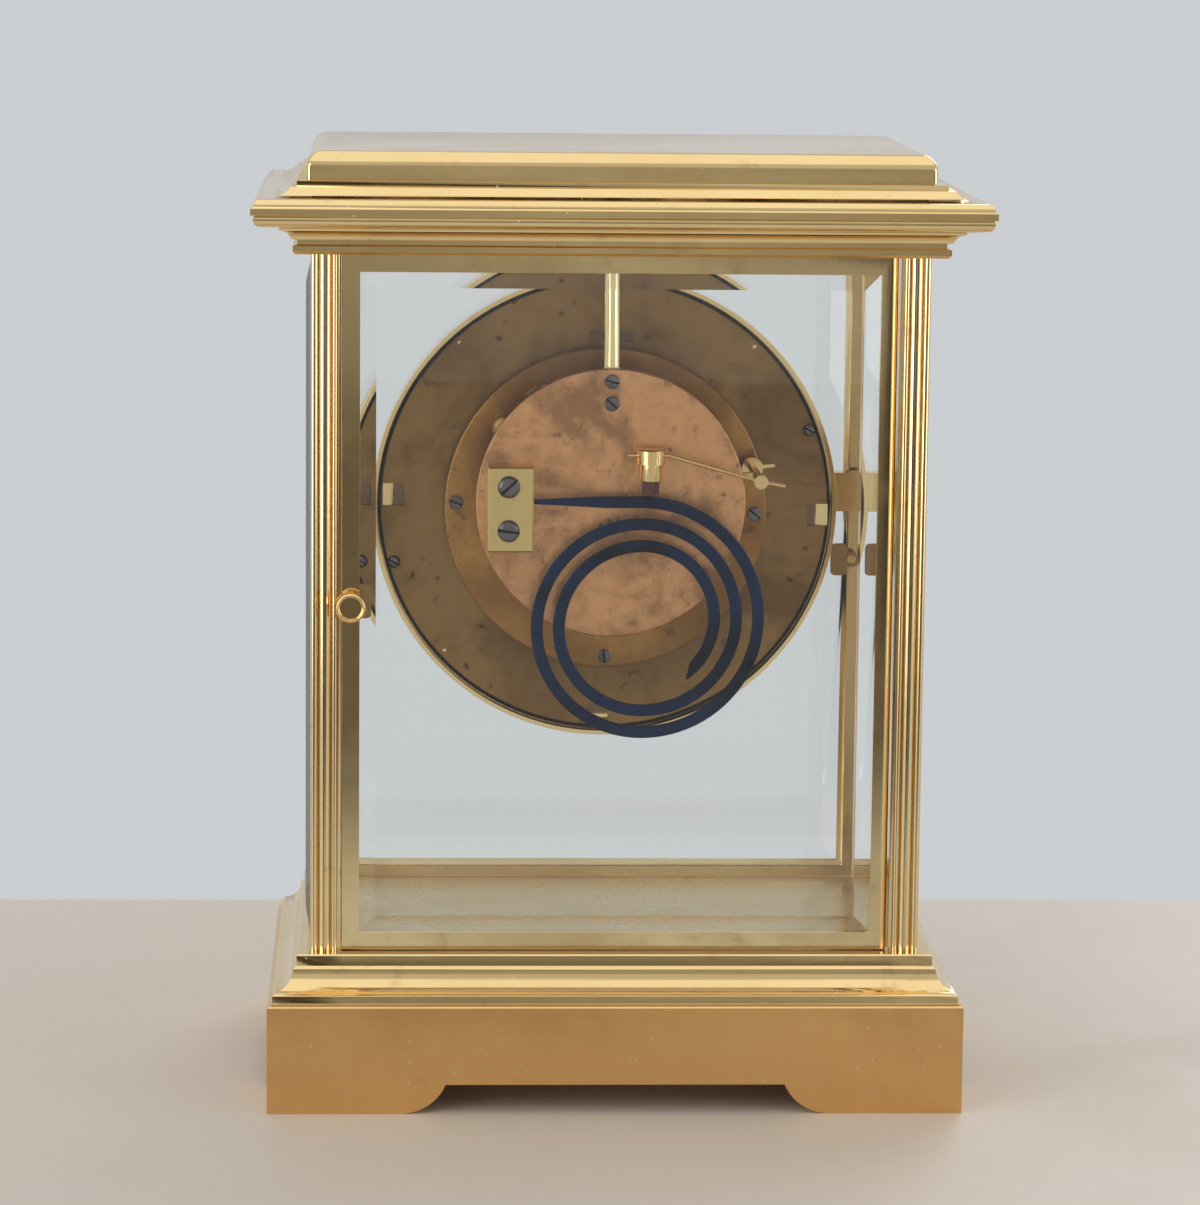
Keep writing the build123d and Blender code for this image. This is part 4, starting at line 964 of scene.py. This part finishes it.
@dataclass
class GongAndHammer:
    """The spiral gong on its block, and the hammer."""

    bench: Bench
    middle_x: float = -9.0
    depth: float = 7.0
    top: float = 163.6
    wire: float = 3.4
    thick: float = 1.7
    root: float = 1.4
    first_radius: float = 33.2
    shrink: float = 3.15
    half_turns: int = 4
    last_turn: float = 145.0
    block_edge: float = 22.2
    socket_depth: float = 7.0
    corner: float = 0.4
    swelling: tuple[tuple[float, float], ...] = ((8.0, 0.8), (2.0, 1.0))  # X, and the wire's share
    turn_step: float = 3.0
    point_from: float = 12.0
    point_share: float = 0.12
    smooth_angle: float = 35.0

    def build(self) -> None:
        """Dresses the block and hammer and winds the gong."""
        self.bench.refine("gong_block", BLOCK_BRASS, Edge.SOFT)
        for node in ("hammer_head", "hammer_stem", "hammer_arbor"):
            self.bench.refine(node, TRAIN_BRASS, Edge.FINE)
        self.bench.refine("hammer_leather", LEATHER, Edge.SOFT)
        self.wind()

    def path(self) -> list[tuple[Point, float]]:
        """Works out the gong's middle line.

        Returns:
            Points in metres, each with the wire's share of its full width.
        """
        slim = self.root / self.wire
        start = ((self.block_edge + self.socket_depth, slim), (self.block_edge, slim), *self.swelling)
        line = [((x, self.depth, self.top), share) for x, share in start]
        end_turn = 180 * self.half_turns + self.last_turn
        steps = int(end_turn / self.turn_step)
        for step in range(steps + 1):
            turned = self.turn_step * step
            half = min(int(turned // 180), self.half_turns)
            left = (end_turn - turned) / self.point_from
            share = min(1.0, self.point_share + (1 - self.point_share) * left)
            radius = self.first_radius - self.shrink * half + self.wire * (1 - share) / 2
            middle = self.top - self.first_radius - (self.shrink if half % 2 else 0.0)
            angle = math.radians(90 + turned)
            spot = (self.middle_x + radius * math.cos(angle), self.depth, middle + radius * math.sin(angle))
            line.append((spot, share))
        return [(tuple(value * MM for value in spot), share) for spot, share in line]

    def wind(self) -> None:
        """Sweeps the flat wire along the path with Geometry Nodes, with an oblique cut end."""
        pattern = Pattern("flat wire", {"Width": ("Float", 0.003), "Thick": ("Float", 0.0015),
                                        "Corner": ("Float", 0.0003), "Material": ("Material", None)})
        tree = pattern.tree
        given = pattern.start.outputs
        band = tree.add("GeometryNodeCurvePrimitiveQuadrilateral", Width=given["Thick"],
                        Height=given["Width"])
        eased = tree.add("GeometryNodeFilletCurve", {"mode": "POLY"}, Curve=band.outputs[0], Count=3,
                         Radius=given["Corner"])
        size = tree.add("GeometryNodeInputRadius")
        swept = tree.add("GeometryNodeCurveToMesh", Curve=given["Geometry"], Scale=size.outputs[0],
                         Profile_Curve=eased.outputs[0], Fill_Caps=True)
        pattern.close(swept.outputs[0])
        curve = bpy.data.curves.new("gong path", "CURVE")
        curve.dimensions = "3D"
        spline = curve.splines.new("POLY")
        line = self.path()
        spline.points.add(len(line) - 1)
        for point, (spot, share) in zip(spline.points, line):
            point.co = (*spot, 1.0)
            point.radius = share
        gong = pattern.bake(add_object("gong path", curve), {
            "Width": self.wire * MM, "Thick": self.thick * MM, "Corner": self.corner * MM,
            "Material": self.bench.wardrobe.material(BLUED)}, "spiral_gong")
        gong.data.shade_smooth()
        gong.data.set_sharp_from_angle(angle=math.radians(self.smooth_angle))
        self.bench.place(gong, "gong", BLUED, stands_for=True)


@dataclass(frozen=True)
class Card:
    """An upright card across Y that only metal and glass reflect."""

    name: str
    middle: Point
    width: float
    height: float
    colour: Colour


@dataclass(frozen=True)
class Lamp:
    """A square soft lamp, with its side in metres and its power in watts."""

    name: str
    middle: Point
    side: float
    power: float


@dataclass
class Studio:
    """The pale shelf, soft lamps and the camera at the photograph's place, in metres."""

    shelf: Colour = (0.80, 0.71, 0.61)
    shelf_size: Point = (3.2, 0.42, 0.03)
    wall: Colour = (0.60, 0.62, 0.635)
    wall_light: float = 0.55            # the wall's strength for soft light
    wall_seen: float = 0.45             # what is added to it for the eye, metal and glass
    camera_at: Point = (0.0622, 1.300, 0.3333)
    camera_turn: Point = (81.27, -0.59, 177.47)
    lens: float = 137.1
    sensor: float = 36.0
    near_clip: float = 0.05
    aim: Point = (0.0, 0.0, 0.14)
    card_shade: float = 0.4             # the card's darker patches over its own colour
    cards: tuple[Card, ...] = (
        Card("room behind", (0.0, 2.6, 0.2), 3.0, 1.3, (0.27, 0.235, 0.195)),
        Card("upper wall behind", (0.0, 2.55, 0.40), 1.7, 0.92, (0.88, 0.85, 0.80)),
        Card("doorway behind", (0.75, 2.5, 0.1), 0.5, 1.6, (0.10, 0.07, 0.045)),
        Card("shelf behind", (-0.9, 2.5, -0.1), 0.9, 0.35, (0.10, 0.07, 0.045)))
    lamps: tuple[Lamp, ...] = (
        Lamp("window left", (1.5, 1.3, 0.50), 1.4, 15.0),
        Lamp("window right", (-1.7, 0.9, 0.40), 1.0, 6.0),
        Lamp("ceiling bounce", (0.1, 0.1, 1.9), 2.8, 12.0),
        Lamp("dial side window", (-0.9, -1.7, 1.0), 1.0, 8.0))

    def build(self) -> None:
        """Makes the stage, lamps, world and camera."""
        self.make_camera()
        self.make_world()
        self.make_shelf()
        for card in self.cards:
            self.make_card(card)
        for lamp in self.lamps:
            self.make_lamp(lamp)

    def make_camera(self) -> None:
        """Sets the camera where the photograph was taken."""
        data = bpy.data.cameras.new("camera")
        data.lens = self.lens
        data.sensor_width = self.sensor
        data.clip_start = self.near_clip
        camera = add_object("camera", data)
        camera.location = self.camera_at
        camera.rotation_euler = [math.radians(angle) for angle in self.camera_turn]
        bpy.context.scene.camera = camera

    def make_world(self) -> None:
        """Gives a pale wall colour to the eye, metal and glass, and soft light to the rest."""
        world = bpy.data.worlds.new("room")
        bpy.context.scene.world = world
        world.use_nodes = True
        world.node_tree.nodes.clear()
        tree = Tree(world.node_tree)
        path = tree.add("ShaderNodeLightPath")
        seen = tree.math("MAXIMUM", path.outputs["Is Camera Ray"], path.outputs["Is Glossy Ray"])
        seen = tree.math("MAXIMUM", seen, path.outputs["Is Transmission Ray"])
        strength = tree.math("MULTIPLY_ADD", seen, self.wall_seen, self.wall_light)
        background = tree.add("ShaderNodeBackground", Color=self.wall, Strength=strength)
        tree.add("ShaderNodeOutputWorld", Surface=background.outputs[0])

    def make_shelf(self) -> None:
        """Makes the plain pale shelf, with its top at the origin."""
        sunk = Matrix.Translation((0, 0, -self.shelf_size[2] / 2))
        work = bmesh.new()
        bmesh.ops.create_cube(work, size=1.0, matrix=sunk @ Matrix.Diagonal((*self.shelf_size, 1.0)))
        shelf = add_object("shelf", mesh_from("shelf", work))
        finish = CoatedFinish("pale shelf", self.shelf, tuple(0.97 * value for value in self.shelf),
                              scale=6.0, roughness=0.45, relief=0.02)
        shelf.data.materials.append(finish.make())

    def make_card(self, card: Card) -> None:
        """Stands a card behind the camera, so that polished faces have contrast.

        Args:
            card: the card.
        """
        upright = Matrix.Translation(card.middle) @ Matrix.Rotation(math.radians(90), 4, "X")
        work = bmesh.new()
        bmesh.ops.create_grid(work, x_segments=1, y_segments=1, size=0.5,
                              matrix=upright @ Matrix.Diagonal((card.width, card.height, 1.0, 1.0)))
        thing = add_object(card.name, mesh_from(card.name, work))
        finish = CoatedFinish(card.name, card.colour, tuple(self.card_shade * value for value in card.colour),
                              scale=3.2, roughness=0.9, relief=0.0)
        thing.data.materials.append(finish.make())
        thing.visible_camera = False
        thing.visible_transmission = False
        thing.visible_shadow = False
        thing.visible_diffuse = False

    def make_lamp(self, lamp: Lamp) -> None:
        """Hangs a lamp and aims it at the clock's middle.

        Args:
            lamp: the lamp.
        """
        data = bpy.data.lights.new(lamp.name, "AREA")
        data.size = lamp.side
        data.energy = lamp.power
        thing = add_object(lamp.name, data)
        thing.location = lamp.middle
        turn = (Vector(self.aim) - Vector(lamp.middle)).to_track_quat("-Z", "Y")
        thing.rotation_euler = turn.to_euler()


def main() -> None:
    """Builds every sub-assembly in order."""
    logging.basicConfig(level=logging.INFO, format="%(name)s: %(message)s")
    bpy.context.scene.view_settings.view_transform = "Standard"
    Studio().build()
    bench = Bench()
    for assembly in (Case(bench), Doors(bench), DialGroup(bench), Movement(bench), GongAndHammer(bench)):
        log.info("building %s", type(assembly).__name__)
        assembly.build()


if __name__ == "__main__":
    main()
